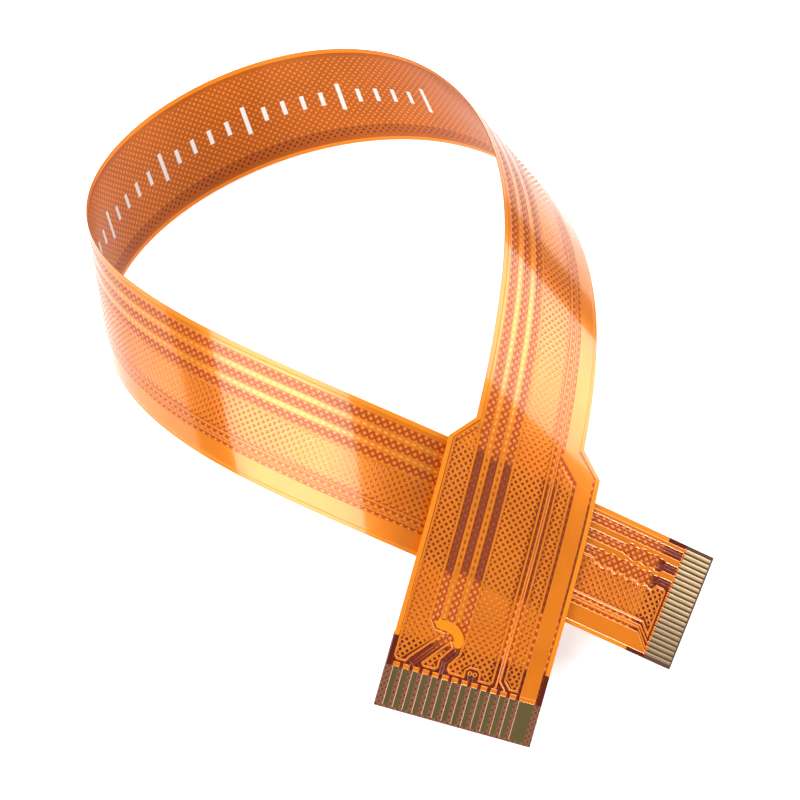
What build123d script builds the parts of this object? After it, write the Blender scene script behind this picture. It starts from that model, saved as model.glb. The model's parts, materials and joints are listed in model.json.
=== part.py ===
"""Flat flex cable: a flexible printed display cable, 200 mm long, that lies in one open loop.

The cable is a laminate. A base film carries copper on both faces, and a cover film lies over each
copper layer. The front cover film stops short of both tips, where the contacts are bare, and a
stiffener behind each tip makes it thick enough for its socket. One end is wider than the rest and
has 15 contact places at 1.0 mm, of which the last two are one double finger. The other end has 22
contacts at 0.5 mm.

Every piece is drawn flat, as it is etched and cut, and is then folded with the cable along the same
straight bend lines. The cable lies on its narrow tip and on the lower edge of its loop, with its
lowest point at z = 0 and the centre of its box over the origin. Sizes are in millimetres.
"""

from build123d import *

import math
import os
from collections.abc import Sequence
from dataclasses import dataclass

# Wide tip
WIDE_PITCH = 1.0
WIDE_PLACES = 15
DOUBLE_PLACES = 2  # places taken by the power finger
WIDE_FINGER = 0.60
WIDE_BARE = 4.0  # from the tip to the cover film
WIDE_ROOT = 4.4  # from the tip to the end of the fingers
WIDE_INSET = 0.2  # from the tip to the start of the fingers
WIDE_STIFFENER = 7.1

# Narrow tip
NARROW_PITCH = 0.5
NARROW_PLACES = 22
NARROW_FINGER = 0.30
NARROW_BARE = 2.95
NARROW_ROOT = 3.1
NARROW_INSET = 0.15
NARROW_STIFFENER = 5.0

# Outline of the flat cable. Sockets take a tip one pitch wider than its row of contacts.
CABLE_LENGTH = 200.0
BODY_WIDTH = (NARROW_PLACES + 1) * NARROW_PITCH
WIDE_WIDTH = (WIDE_PLACES + 1) * WIDE_PITCH
WIDE_LENGTH = 26.1  # from the wide tip to where the shoulders begin
SHOULDER_RUN = 2.4  # length over which the shoulders narrow to the body

# Thickness of the layers
BASE_FILM = 0.025
COPPER = 0.018
COVER_FILM = 0.030
TIP_THICKNESS = 0.30  # over contacts and stiffener, as the sockets ask

# Copper across the body. Each pair runs in a channel in line with its two narrow contacts, and
# the ground between the channels takes what is left.
PAIR_PLACES = (1.5, 4.5, 7.5)  # counted from the first narrow contact
SIGNAL_PLACES = (19, 20)
POWER_PLACE = 21
CHANNEL = 0.90
SIGNAL_CHANNEL = 1.05
POWER_STRIP = 1.60
EDGE_MARGIN = 0.45
POWER_MARGIN = 0.40
TRACK = 0.12
PAIR_GAP = 0.16
SIGNAL_GAP = 0.12

# Copper in the wide part
FAN_PLACES = (4.5, 1.5)  # wide contacts that the first and second pair lead to
VIA_PLACES = (7, 8)
WIDE_SIGNAL_PLACES = (10, 11)
WIDE_MARGIN = 0.55
WIDE_POWER_MARGIN = 0.70
POWER_GAP = 0.35  # between the power strip and the ground beside it
POWER_SLANT = 0.90  # from the inner slant of the power strip to the shoulder
CORNER_CUT = 0.30  # small slants at the corners of the ground areas

# Fan-out behind the wide fingers
FAN_LENGTH = 5.1  # from the fingers to where the pairs leave the front layer
SLANT_LENGTH = 3.2  # of the slanted track of the second pair
TURN_LENGTH = 2.4  # of the bent track of the first pair
BRIDGE_WIDTH = 0.80
BRIDGE_CLEARANCE = 0.20
VIA_REACH = 0.8  # from the fingers to the plated holes
VIA_SPACING = 0.5
VIA_RADIUS = 0.21
VIA_CLEARANCE = 0.45

# Fan-out behind the narrow fingers
JOG_LENGTH = 1.35  # from the fingers to where the single tracks and the power strip slant
ROOT_GAP = 0.25  # between the fingers and the ground areas
WAVE_LENGTH = 1.35  # of one of the waves that even out the lengths of the pairs
WAVE_HEIGHT = 0.25
WAVE_COUNTS = (0, 3, 5)
WAVE_SHIFTS = (0.0, 0.0, -0.22)  # how far the waves stand beside the line of their pair
WAVE_ROOM = 0.22  # by which the channel is wider at either side of the waves
SIDE_SHARE = 0.3  # share of the height of the waves that the sides of the channel follow
WAVE_END = 1.5  # from the fingers to the last wave

# Bends: distance from the wide tip, bend radius, and slant of the bend lines in degrees. Between
# two of these places the bend rate and the tangent of the slant change evenly.
WIDE_FLAT = 8.0
NARROW_FLAT = 7.0
BENDS = (
    (25.0, 70.0, 24.5),
    (45.0, 25.3, 33.0),
    (68.0, 27.0, 28.5),
    (92.0, 18.4, 4.0),
    (116.0, 21.7, -9.5),
    (140.0, 22.3, -38.0),
    (165.0, 38.0, -32.5),
)
FOLD_ANGLE = 5.0  # greatest turn at one bend line, in degrees
WALK = 0.1  # step in which the turn is added up

# How the wide tip is turned about X, Y and Z when the cable lies at rest
TIP_TURNS = (36.49, 16.46, 74.44)

HALF_BODY = BODY_WIDTH / 2
HALF_WIDE = WIDE_WIDTH / 2
NARROW_TIP = CABLE_LENGTH
SHOULDER_END = WIDE_LENGTH + SHOULDER_RUN
COVER_END = NARROW_TIP - NARROW_BARE
ROOT_END = NARROW_TIP - NARROW_ROOT
PAIR_END = WIDE_ROOT + FAN_LENGTH

# Heights of the layers over the middle of the base film
FILM_TOP = BASE_FILM / 2
COPPER_TOP = FILM_TOP + COPPER
COVER_TOP = COPPER_TOP + COVER_FILM
STIFFENER_BACK = COPPER_TOP - TIP_THICKNESS

Point = tuple[float, float]


def evenly(at: float, places: Sequence[float], values: Sequence[float]) -> float:
    """Value at a place on straight lines through the given places."""
    for i in range(1, len(places)):
        if at <= places[i]:
            share = (at - places[i - 1]) / (places[i] - places[i - 1])
            return values[i - 1] + max(share, 0.0) * (values[i] - values[i - 1])
    return values[-1]


def bend_rate(at: float) -> float:
    """Turn in radians for each millimetre along the centre line."""
    places = [WIDE_FLAT, *(place for place, _, _ in BENDS), NARROW_TIP - NARROW_FLAT]
    return evenly(at, places, [0.0, *(1 / radius for _, radius, _ in BENDS), 0.0])


def bend_lean(at: float) -> float:
    """How far a bend line leans along the cable for each millimetre across it."""
    places = [0.0, *(place for place, _, _ in BENDS), NARROW_TIP]
    return evenly(at, places, [0.0, *(math.tan(math.radians(slant)) for _, _, slant in BENDS), 0.0])


@dataclass
class BendLine:
    """A straight line across the flat cable, and the direction of its mitre when it is folded."""

    distance: float
    lean: float
    mitre: Vector

    def ahead(self, point: Point) -> float:
        """How far a flat point is past the line, along the cable."""
        return point[0] - self.distance - self.lean * point[1]


@dataclass
class Facet:
    """A flat stretch of the folded cable between two bend lines, either of which may be missing."""

    start: BendLine | None
    end: BendLine | None
    distance: float
    origin: Vector
    along: Vector
    across: Vector
    normal: Vector

    def place(self, point: Point, height: float) -> Vector:
        """Where a flat point at a height over the middle of the film comes to lie."""
        spot = self.origin + self.along * (point[0] - self.distance) + self.across * point[1]
        return spot + self.rise(point) * height

    def rise(self, point: Point) -> Vector:
        """Direction of the thickness at a flat point: the normal, or the mitre on a bend line."""
        line = self.line_at(point)
        return self.normal if line is None else line.mitre

    def line_at(self, point: Point) -> BendLine | None:
        """Bend line on which a flat point lies, if it lies on one."""
        for line in (self.start, self.end):
            if line is not None and abs(line.ahead(point)) < 1e-7:
                return line
        return None


def fold_places() -> tuple[list[float], float]:
    """Where the bend lines cross the centre line, and the turn at each of them in degrees."""
    steps = round(CABLE_LENGTH / WALK)
    turns = [0.0]
    for i in range(steps):
        turns.append(turns[-1] + math.degrees(bend_rate((i + 0.5) * WALK)) * WALK)
    count = math.ceil(turns[-1] / FOLD_ANGLE)
    turn = turns[-1] / count
    distances = [i * WALK for i in range(steps + 1)]
    return [evenly((k + 0.5) * turn, turns, distances) for k in range(count)], turn


def fold() -> list[Facet]:
    """Flat stretches of the folded cable, from the wide tip to the narrow one."""
    tip = Plane(Location((0, 0, 0), TIP_TURNS))
    facet = Facet(None, None, 0.0, Vector(0, 0, 0), tip.x_dir, tip.y_dir, tip.z_dir)
    facets = [facet]
    places, turn = fold_places()
    for place in places:
        lean = bend_lean(place)
        origin = facet.origin + facet.along * (place - facet.distance)
        hinge = Axis((0, 0, 0), facet.along * lean + facet.across)
        along, across, normal = (
            direction.rotate(hinge, turn) for direction in (facet.along, facet.across, facet.normal)
        )
        mitre = (facet.normal + normal) / (1 + facet.normal.dot(normal))
        facet.end = BendLine(place, lean, mitre)
        facet = Facet(facet.end, None, place, origin, along, across, normal)
        facets.append(facet)
    return facets


FACETS = fold()


def clip(outline: list[Point], line: BendLine, side: int) -> list[Point]:
    """Part of a flat outline that lies past a bend line (side 1) or before it (side -1)."""
    kept = []
    for here, there in zip(outline, outline[1:] + outline[:1]):
        near, far = side * line.ahead(here), side * line.ahead(there)
        if near >= 0:
            kept.append(here)
        if near * far < 0:
            share = near / (near - far)
            kept.append((here[0] + share * (there[0] - here[0]), here[1] + share * (there[1] - here[1])))
    return kept


def counterclockwise(outline: list[Point]) -> list[Point]:
    """The same outline, running so that its front face points the right way."""
    area = sum(a[0] * b[1] - b[0] * a[1] for a, b in zip(outline, outline[1:] + outline[:1]))
    return outline if area > 0 else outline[::-1]


def flat_face(corners: list[Vector]) -> Face:
    """Plane face through corners that lie in one plane."""
    return Face(Wire.make_polygon(corners, close=True))


def lamina(outline: list[Point], low: float, high: float) -> Solid:
    """Solid of a flat outline between two heights, folded with the cable."""
    outline = counterclockwise(outline)
    faces = []
    for facet in FACETS:
        part = outline
        if facet.start is not None:
            part = clip(part, facet.start, 1)
        if facet.end is not None and part:
            part = clip(part, facet.end, -1)
        if len(part) < 3:
            continue
        top = [facet.place(point, high) for point in part]
        bottom = [facet.place(point, low) for point in part]
        faces += [flat_face(top), flat_face(bottom[::-1])]
        for i in range(len(part)):
            j = (i + 1) % len(part)
            first, second = facet.line_at(part[i]), facet.line_at(part[j])
            if first is None and second is None:
                faces.append(flat_face([bottom[i], bottom[j], top[j], top[i]]))
            elif first is not second:
                faces.append(flat_face([bottom[i], bottom[j], top[j]]))
                faces.append(flat_face([bottom[i], top[j], top[i]]))
    return Solid(Shell(faces))


def beside(route: list[Point], offset: float) -> list[Point]:
    """Line at a sideways offset from a route, with mitred corners."""
    line = []
    for i, (along, across) in enumerate(route):
        before, after = route[max(i - 1, 0)], route[min(i + 1, len(route) - 1)]
        if i == 0:
            before = (2 * along - after[0], 2 * across - after[1])
        if i == len(route) - 1:
            after = (2 * along - before[0], 2 * across - before[1])
        first = math.atan2(across - before[1], along - before[0])
        last = math.atan2(after[1] - across, after[0] - along)
        middle = (first + last) / 2
        reach = offset / math.cos((last - first) / 2)
        line.append((along - reach * math.sin(middle), across + reach * math.cos(middle)))
    return line


def band(route: list[Point], low: float, high: float) -> list[Point]:
    """Outline of a strip between two sideways offsets from a route."""
    return beside(route, low) + beside(route, high)[::-1]


def cable_outline(start: float, end: float, inset: float = 0.0) -> list[Point]:
    """Outline of the cable between two distances from the wide tip, pulled in from its edges."""
    body, wide = HALF_BODY - inset, HALF_WIDE - inset
    shift = inset * math.tan(math.atan2(HALF_WIDE - HALF_BODY, SHOULDER_RUN) / 2)
    first = [(start, wide), (WIDE_LENGTH - shift, wide), (SHOULDER_END - shift, body), (end, body)]
    return first + [(along, -across) for along, across in reversed(first)]


def wide_place(index: float) -> float:
    """Place across the cable of a contact of the wide tip, counted from the first edge."""
    return ((WIDE_PLACES - 1) / 2 - index) * WIDE_PITCH


def narrow_place(index: float) -> float:
    """Place across the cable of a contact of the narrow tip, counted from the first edge."""
    return ((NARROW_PLACES - 1) / 2 - index) * NARROW_PITCH


# Places across the cable of the long copper pieces
PAIR_LINES = [narrow_place(place) for place in PAIR_PLACES]
EDGE_OUT = HALF_BODY - EDGE_MARGIN
POWER_OUT = POWER_MARGIN - HALF_BODY
POWER_IN = POWER_OUT + POWER_STRIP
MIDDLE_END = POWER_IN + SIGNAL_CHANNEL
SIGNAL_LINE = (MIDDLE_END + POWER_IN) / 2
WIDE_EDGE_OUT = HALF_WIDE - WIDE_MARGIN
WIDE_POWER_OUT = WIDE_POWER_MARGIN - HALF_WIDE
WIDE_POWER_IN = WIDE_POWER_OUT + POWER_STRIP


def films() -> dict[str, Solid]:
    """Base film, and the cover films of both faces."""
    return {
        "base_film": lamina(cable_outline(0, NARROW_TIP), -FILM_TOP, FILM_TOP),
        "front_cover_film": lamina(cable_outline(WIDE_BARE, COVER_END), COPPER_TOP, COVER_TOP),
        "back_cover_film": lamina(cable_outline(0, NARROW_TIP), -COVER_TOP, -COPPER_TOP),
    }


def stiffeners() -> dict[str, Solid]:
    """Stiff films behind both tips."""
    wide = [(0, -HALF_WIDE), (WIDE_STIFFENER, -HALF_WIDE), (WIDE_STIFFENER, HALF_WIDE), (0, HALF_WIDE)]
    start = NARROW_TIP - NARROW_STIFFENER
    narrow = [(start, -HALF_BODY), (NARROW_TIP, -HALF_BODY), (NARROW_TIP, HALF_BODY), (start, HALF_BODY)]
    return {
        "wide_stiffener": lamina(wide, STIFFENER_BACK, -COVER_TOP),
        "narrow_stiffener": lamina(narrow, STIFFENER_BACK, -COVER_TOP),
    }


def finger(across: float, width: float, start: float, end: float) -> list[Point]:
    """Outline of one contact finger."""
    return band([(start, across), (end, across)], -width / 2, width / 2)


def contacts() -> dict[str, Solid]:
    """Contact fingers of both tips, each a piece of plated copper on the base film."""
    found = {}
    singles = WIDE_PLACES - DOUBLE_PLACES
    for i in range(singles):
        found[f"wide_contact_{i + 1:02d}"] = finger(wide_place(i), WIDE_FINGER, WIDE_INSET, WIDE_ROOT)
    double = WIDE_FINGER + (DOUBLE_PLACES - 1) * WIDE_PITCH
    middle = wide_place(singles + (DOUBLE_PLACES - 1) / 2)
    found["wide_power_contact"] = finger(middle, double, WIDE_INSET, WIDE_ROOT)
    for i in range(NARROW_PLACES):
        outline = finger(narrow_place(i), NARROW_FINGER, ROOT_END, NARROW_TIP - NARROW_INSET)
        found[f"narrow_contact_{i + 1:02d}"] = outline
    return {name: lamina(outline, FILM_TOP, COPPER_TOP) for name, outline in found.items()}


def wavy_line(index: int, height: float, offset: float, room: float) -> list[Point]:
    """Line along a pair, from where it joins the front layer to its narrow contacts.

    The line lies at a sideways offset from the middle of the pair. Where the pair has waves it
    follows them with the given height, and stands off by the given room as well.
    """
    line, count = PAIR_LINES[index] + offset, WAVE_COUNTS[index]
    first, last = ROOT_END - WAVE_END - count * WAVE_LENGTH, ROOT_END - WAVE_END
    points = [(PAIR_END, line)]
    if count:
        points.append((first - WAVE_LENGTH / 8, line))
        for i in range(4 * count):
            crest = height if i % 4 < 2 else -height
            points.append((first + (i + 0.5) * WAVE_LENGTH / 4, line + WAVE_SHIFTS[index] + room + crest))
        points.append((last + WAVE_LENGTH / 8, line))
    return points + [(ROOT_END, line)]


def wavy_route(index: int) -> list[Point]:
    """Route of the middle of a pair."""
    return wavy_line(index, WAVE_HEIGHT, 0.0, 0.0)


def channel_side(index: int, side: int) -> list[Point]:
    """Edge of the ground beside the channel of a pair."""
    return wavy_line(index, WAVE_HEIGHT * SIDE_SHARE, side * CHANNEL / 2, side * WAVE_ROOM)


def slanted_fan() -> list[Point]:
    """Route of the second pair behind the wide fingers."""
    place = wide_place(FAN_PLACES[1])
    return [
        (WIDE_ROOT, place),
        (WIDE_ROOT + CORNER_CUT, place),
        (WIDE_ROOT + CORNER_CUT + SLANT_LENGTH, PAIR_LINES[1] - PAIR_GAP),
    ]


def bent_fan() -> list[Point]:
    """Route of the first pair behind the wide fingers, up to the bridge."""
    place = wide_place(FAN_PLACES[0])
    return [
        (WIDE_ROOT, place),
        (WIDE_ROOT + TURN_LENGTH / 2, place),
        (WIDE_ROOT + TURN_LENGTH, PAIR_LINES[2] + PAIR_GAP),
    ]


def via_track(across: float) -> list[Point]:
    """Outline of a plated hole's pad and the short track from it to the finger."""
    centre = WIDE_ROOT + VIA_REACH
    turns = [math.radians(202.5 + 45 * i) for i in range(8)]
    corners = [(centre + VIA_RADIUS * math.cos(turn), across + VIA_RADIUS * math.sin(turn)) for turn in turns]
    return [(WIDE_ROOT, corners[0][1]), *corners, (WIDE_ROOT, corners[-1][1])]


def pairs() -> dict[str, list[Solid]]:
    """Three pairs of signal tracks, with the short tracks that lead them to the wide contacts."""
    near, far = PAIR_GAP / 2, PAIR_GAP / 2 + TRACK
    fans = (bent_fan(), slanted_fan())
    via_middle = wide_place(sum(VIA_PLACES) / 2)
    found = {}
    for i in range(len(PAIR_LINES)):
        for letter, sign in (("a", 1), ("b", -1)):
            low, high = sorted((sign * near, sign * far))
            outlines = [band(wavy_route(i), low, high)]
            if i < len(fans):
                outlines.append(band(fans[i], low, high))
            else:
                outlines.append(via_track(via_middle + sign * VIA_SPACING / 2))
            pieces = [lamina(outline, FILM_TOP, COPPER_TOP) for outline in outlines]
            found[f"pair_{i + 1}{letter}_track"] = pieces
    return found


def signal_route(index: int) -> list[Point]:
    """Route of a single track, which slants to its contacts at both tips."""
    line = SIGNAL_LINE + (0.5 - index) * (TRACK + SIGNAL_GAP)
    wide, narrow = wide_place(WIDE_SIGNAL_PLACES[index]), narrow_place(SIGNAL_PLACES[index])
    start, slant = WIDE_ROOT + TRACK, ROOT_END - JOG_LENGTH
    return [
        (WIDE_ROOT, wide),
        (start, wide),
        (start + abs(wide - line), line),
        (slant - index * TRACK, line),
        (ROOT_END - TRACK, narrow),
        (ROOT_END, narrow),
    ]


def signals() -> dict[str, Solid]:
    """Two single signal tracks side by side."""
    found = {}
    for i in range(len(SIGNAL_PLACES)):
        outline = band(signal_route(i), -TRACK / 2, TRACK / 2)
        found[f"signal_track_{i + 1}"] = lamina(outline, FILM_TOP, COPPER_TOP)
    return found


def power_strip() -> Solid:
    """Wide power track along the second edge, which follows the shoulder of the wide part."""
    slant = WIDE_LENGTH - POWER_SLANT
    last = narrow_place(POWER_PLACE) + NARROW_FINGER / 2
    outline = [
        (WIDE_ROOT, WIDE_POWER_OUT),
        (WIDE_LENGTH, WIDE_POWER_OUT),
        (WIDE_LENGTH + POWER_OUT - WIDE_POWER_OUT, POWER_OUT),
        (ROOT_END, POWER_OUT),
        (ROOT_END, last),
        (ROOT_END - JOG_LENGTH, POWER_IN),
        (slant + POWER_IN - WIDE_POWER_IN, POWER_IN),
        (slant, WIDE_POWER_IN),
        (WIDE_ROOT, WIDE_POWER_IN),
    ]
    return lamina(outline, FILM_TOP, COPPER_TOP)


def edge_ground() -> Solid:
    """Ground along the first edge: a broad area in the wide part and a narrow strip in the body."""
    start = WIDE_ROOT + ROOT_GAP
    fan = beside(slanted_fan(), CHANNEL / 2)
    line = PAIR_LINES[0] + CHANNEL / 2
    outline = [
        (start, WIDE_EDGE_OUT - CORNER_CUT),
        (start + CORNER_CUT, WIDE_EDGE_OUT),
        (WIDE_LENGTH, WIDE_EDGE_OUT),
        (WIDE_LENGTH + WIDE_EDGE_OUT - EDGE_OUT, EDGE_OUT),
        (ROOT_END, EDGE_OUT),
        (ROOT_END, line),
        (PAIR_END - BRIDGE_WIDTH / 2, line),
        (PAIR_END - BRIDGE_WIDTH - 2 * BRIDGE_CLEARANCE, PAIR_LINES[0] - BRIDGE_CLEARANCE),
        fan[2],
        (fan[1][0] + CORNER_CUT, fan[1][1]),
        (start, fan[1][1] + CORNER_CUT),
    ]
    return lamina(outline, FILM_TOP, COPPER_TOP)


def ground_strips() -> dict[str, Solid]:
    """Ground strips between the channels of the pairs."""
    found = {}
    for i in range(len(PAIR_LINES) - 1):
        first, second = channel_side(i, -1), channel_side(i + 1, 1)
        found[f"ground_strip_{i + 1}"] = lamina(first + second[::-1], FILM_TOP, COPPER_TOP)
    return found


def middle_ground() -> Solid:
    """Broad ground area between the third pair and the single tracks."""
    start, slant, end = WIDE_ROOT + ROOT_GAP, ROOT_END - JOG_LENGTH, ROOT_END - ROOT_GAP
    fan = beside(bent_fan(), -CHANNEL / 2)
    pair = channel_side(2, -1)
    hole = wide_place(sum(VIA_PLACES) / 2)
    half = VIA_SPACING / 2 + VIA_CLEARANCE
    top = WIDE_ROOT + VIA_REACH + VIA_CLEARANCE
    outline = [
        (start, hole - half),
        (start, MIDDLE_END + CORNER_CUT),
        (start + CORNER_CUT, MIDDLE_END),
        (slant, MIDDLE_END),
        (end, MIDDLE_END - JOG_LENGTH + ROOT_GAP),
        (end, pair[-1][1] - CORNER_CUT),
        (end - CORNER_CUT, pair[-1][1]),
        *pair[-2:0:-1],
        (PAIR_END - BRIDGE_WIDTH, pair[0][1]),
        fan[2],
        fan[1],
        (start + CORNER_CUT, fan[0][1]),
        (start, fan[0][1] - CORNER_CUT),
        (start, hole + half),
        (top - CORNER_CUT, hole + half),
        (top, hole + half - CORNER_CUT),
        (top, hole - half + CORNER_CUT),
        (top - CORNER_CUT, hole - half),
    ]
    return lamina(outline, FILM_TOP, COPPER_TOP)


def fan_ground() -> Solid:
    """Small three-sided ground area between the slanted pair and the bent one."""
    start = WIDE_ROOT + ROOT_GAP
    slanted, bent = beside(slanted_fan(), -CHANNEL / 2), beside(bent_fan(), CHANNEL / 2)
    places, values = zip(*slanted[1:])
    corner = evenly(start + CORNER_CUT, places, values)
    outline = [
        (start, bent[0][1] + CORNER_CUT),
        (start + CORNER_CUT, bent[0][1]),
        bent[1],
        bent[2],
        slanted[2],
        (start + CORNER_CUT, corner),
        (start, corner - CORNER_CUT),
    ]
    return lamina(outline, FILM_TOP, COPPER_TOP)


def side_ground() -> Solid:
    """Narrow ground area of the wide part, between the single tracks and the power strip."""
    start, slant = WIDE_ROOT + ROOT_GAP, WIDE_LENGTH - POWER_SLANT - POWER_GAP
    outer = WIDE_POWER_IN + POWER_GAP
    jog = beside(signal_route(1), -SIGNAL_CHANNEL / 2 + SIGNAL_GAP)
    outline = [
        (start, outer),
        (slant, outer),
        (slant + POWER_IN - outer, POWER_IN),
        (jog[2][0], POWER_IN),
        (start, POWER_IN - jog[2][0] + start),
    ]
    return lamina(outline, FILM_TOP, COPPER_TOP)


def bridge() -> Solid:
    """Copper patch under which two of the pairs change places on the back layer."""
    end = PAIR_END - BRIDGE_WIDTH / 2 - BRIDGE_CLEARANCE
    route = [
        (end, PAIR_LINES[0] - BRIDGE_CLEARANCE),
        (end, PAIR_LINES[1] - BRIDGE_WIDTH / 2),
        (end - BRIDGE_WIDTH, PAIR_LINES[2] + PAIR_GAP),
        (WIDE_ROOT + TURN_LENGTH + 2 * BRIDGE_CLEARANCE, PAIR_LINES[2] + PAIR_GAP),
    ]
    return lamina(band(route, -BRIDGE_WIDTH / 2, BRIDGE_WIDTH / 2), FILM_TOP, COPPER_TOP)


def layers() -> dict[str, Solid | list[Solid]]:
    """Every piece of the cable by name."""
    found: dict[str, Solid | list[Solid]] = {}
    found.update(films())
    found.update(stiffeners())
    found.update(contacts())
    found.update(pairs())
    found.update(signals())
    found.update(ground_strips())
    found["edge_ground"] = edge_ground()
    found["middle_ground"] = middle_ground()
    found["fan_ground"] = fan_ground()
    found["side_ground"] = side_ground()
    found["power_strip"] = power_strip()
    found["bridge_patch"] = bridge()
    found["back_ground"] = lamina(
        cable_outline(WIDE_INSET, NARROW_TIP - NARROW_INSET, EDGE_MARGIN), -COPPER_TOP, -FILM_TOP
    )
    return found


def main() -> None:
    """Build every piece, stand the cable over the origin and write one file for each piece."""
    os.makedirs("parts", exist_ok=True)
    pieces = {
        name: Compound(piece) if isinstance(piece, list) else piece for name, piece in layers().items()
    }
    box = Compound(list(pieces.values())).bounding_box()
    seat = Location((-box.center().X, -box.center().Y, -box.min.Z))
    for name, piece in pieces.items():
        export_step(piece.moved(seat), f"parts/{name}.step")
    print(f"{len(pieces)} pieces, {len(FACETS)} flat stretches, box {box.size}")


main()
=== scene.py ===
"""Looks of the flat flex cable: its film, copper, contacts and stiffeners as smooth bent skins.

Every skin is drawn flat in millimetres, as distance along the cable, place across it and height
over the middle of the base film. It is then wrapped onto the smooth ribbon that the folded parts
stand for. The ribbon starts at the wide stiffener of the frame. The hatched copper is made of
repeated cells. What lies behind the film decides how dark its openings are: a stiffener shows its
own dark colour through it, and where the other tail lies behind, painted shade darkens them.
"""

import json
import logging
import math
from collections.abc import Iterable, Sequence
from dataclasses import dataclass, field
from enum import Enum
from functools import cached_property

import bmesh
import bpy
import numpy as np
from mathutils import Matrix, Vector
from mathutils.bvhtree import BVHTree

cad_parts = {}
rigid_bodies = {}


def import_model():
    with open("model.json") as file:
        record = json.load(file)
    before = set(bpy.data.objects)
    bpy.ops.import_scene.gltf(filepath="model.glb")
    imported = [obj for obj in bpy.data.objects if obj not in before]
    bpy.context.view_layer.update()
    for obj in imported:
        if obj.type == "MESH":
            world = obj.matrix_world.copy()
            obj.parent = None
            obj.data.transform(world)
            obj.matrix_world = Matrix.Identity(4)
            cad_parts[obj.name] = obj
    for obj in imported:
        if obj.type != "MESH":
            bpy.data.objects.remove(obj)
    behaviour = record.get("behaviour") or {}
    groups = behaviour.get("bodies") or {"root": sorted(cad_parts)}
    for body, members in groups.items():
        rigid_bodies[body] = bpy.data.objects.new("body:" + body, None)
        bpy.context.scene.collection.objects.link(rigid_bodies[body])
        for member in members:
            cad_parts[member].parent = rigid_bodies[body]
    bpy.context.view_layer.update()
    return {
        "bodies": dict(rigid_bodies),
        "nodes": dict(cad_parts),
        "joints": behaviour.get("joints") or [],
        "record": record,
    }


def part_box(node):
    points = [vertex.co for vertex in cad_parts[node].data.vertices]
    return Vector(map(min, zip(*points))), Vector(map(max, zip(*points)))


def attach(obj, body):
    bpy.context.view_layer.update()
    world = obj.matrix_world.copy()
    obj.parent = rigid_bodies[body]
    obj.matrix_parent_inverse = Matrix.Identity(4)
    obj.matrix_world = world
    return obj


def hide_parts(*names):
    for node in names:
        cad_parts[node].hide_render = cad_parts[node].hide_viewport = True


LOG = logging.getLogger("flex_cable")
MM = 0.001
ROOT_BODY = "root"
FLAT_MAP = "flat"
# Per vertex: one where a stiffener lies behind the film, the share of painted shade where the other tail lies
# behind it.
STIFFENER_AND_SHADE = "stiffener_and_shade"

Point = tuple[float, float]
Colour = tuple[float, float, float]


class Slot(str, Enum):
    """Material slots of the record."""

    FILM = "amber_film"
    STIFFENER = "stiffener_film"
    COPPER = "copper_foil"
    GOLD = "gold_plating"


@dataclass(frozen=True)
class Layers:
    """Heights of the layers over the middle of the base film, in millimetres."""

    base_film: float = 0.025
    copper: float = 0.018
    cover_film: float = 0.030
    tip_thickness: float = 0.30

    @property
    def film(self) -> float:
        """Top of the base film."""
        return self.base_film / 2

    @property
    def foil(self) -> float:
        """Top of the copper."""
        return self.film + self.copper

    @property
    def floor(self) -> float:
        """Top of the cover film where no copper lies under it."""
        return self.film + self.cover_film

    @property
    def cover(self) -> float:
        """Top of the cover film over copper."""
        return self.foil + self.cover_film

    @property
    def back(self) -> float:
        """Back of the stiffeners."""
        return self.foil - self.tip_thickness


@dataclass(frozen=True)
class Bend:
    """One stated place of the bending: distance along, radius and slant of the bend line."""

    at: float
    radius: float
    slant: float


@dataclass(frozen=True)
class BendPlan:
    """How the flat cable is bent, and how its wide tip stands."""

    length: float = 200.0
    wide_flat: float = 8.0
    narrow_flat: float = 7.0
    bends: tuple[Bend, ...] = (
        Bend(25.0, 70.0, 24.5),
        Bend(45.0, 25.3, 33.0),
        Bend(68.0, 27.0, 28.5),
        Bend(92.0, 18.4, 4.0),
        Bend(116.0, 21.7, -9.5),
        Bend(140.0, 22.3, -38.0),
        Bend(165.0, 38.0, -32.5),
    )
    tip_turns: tuple[float, float, float] = (36.49, 16.46, 74.44)

    def rate(self, at: np.ndarray) -> np.ndarray:
        """Turn in radians for each millimetre.

        Args:
            at: Distances along the cable.

        Returns:
            The bend rate at each distance.
        """
        places = [self.wide_flat, *(b.at for b in self.bends), self.length - self.narrow_flat]
        return np.interp(at, places, [0.0, *(1 / b.radius for b in self.bends), 0.0])

    def lean(self, at: np.ndarray) -> np.ndarray:
        """How far a bend line leans along the cable for each millimetre across it.

        Args:
            at: Distances along the cable.

        Returns:
            The lean at each distance.
        """
        places = [0.0, *(b.at for b in self.bends), self.length]
        return np.interp(at, places, [0.0, *(math.tan(math.radians(b.slant)) for b in self.bends), 0.0])


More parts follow.
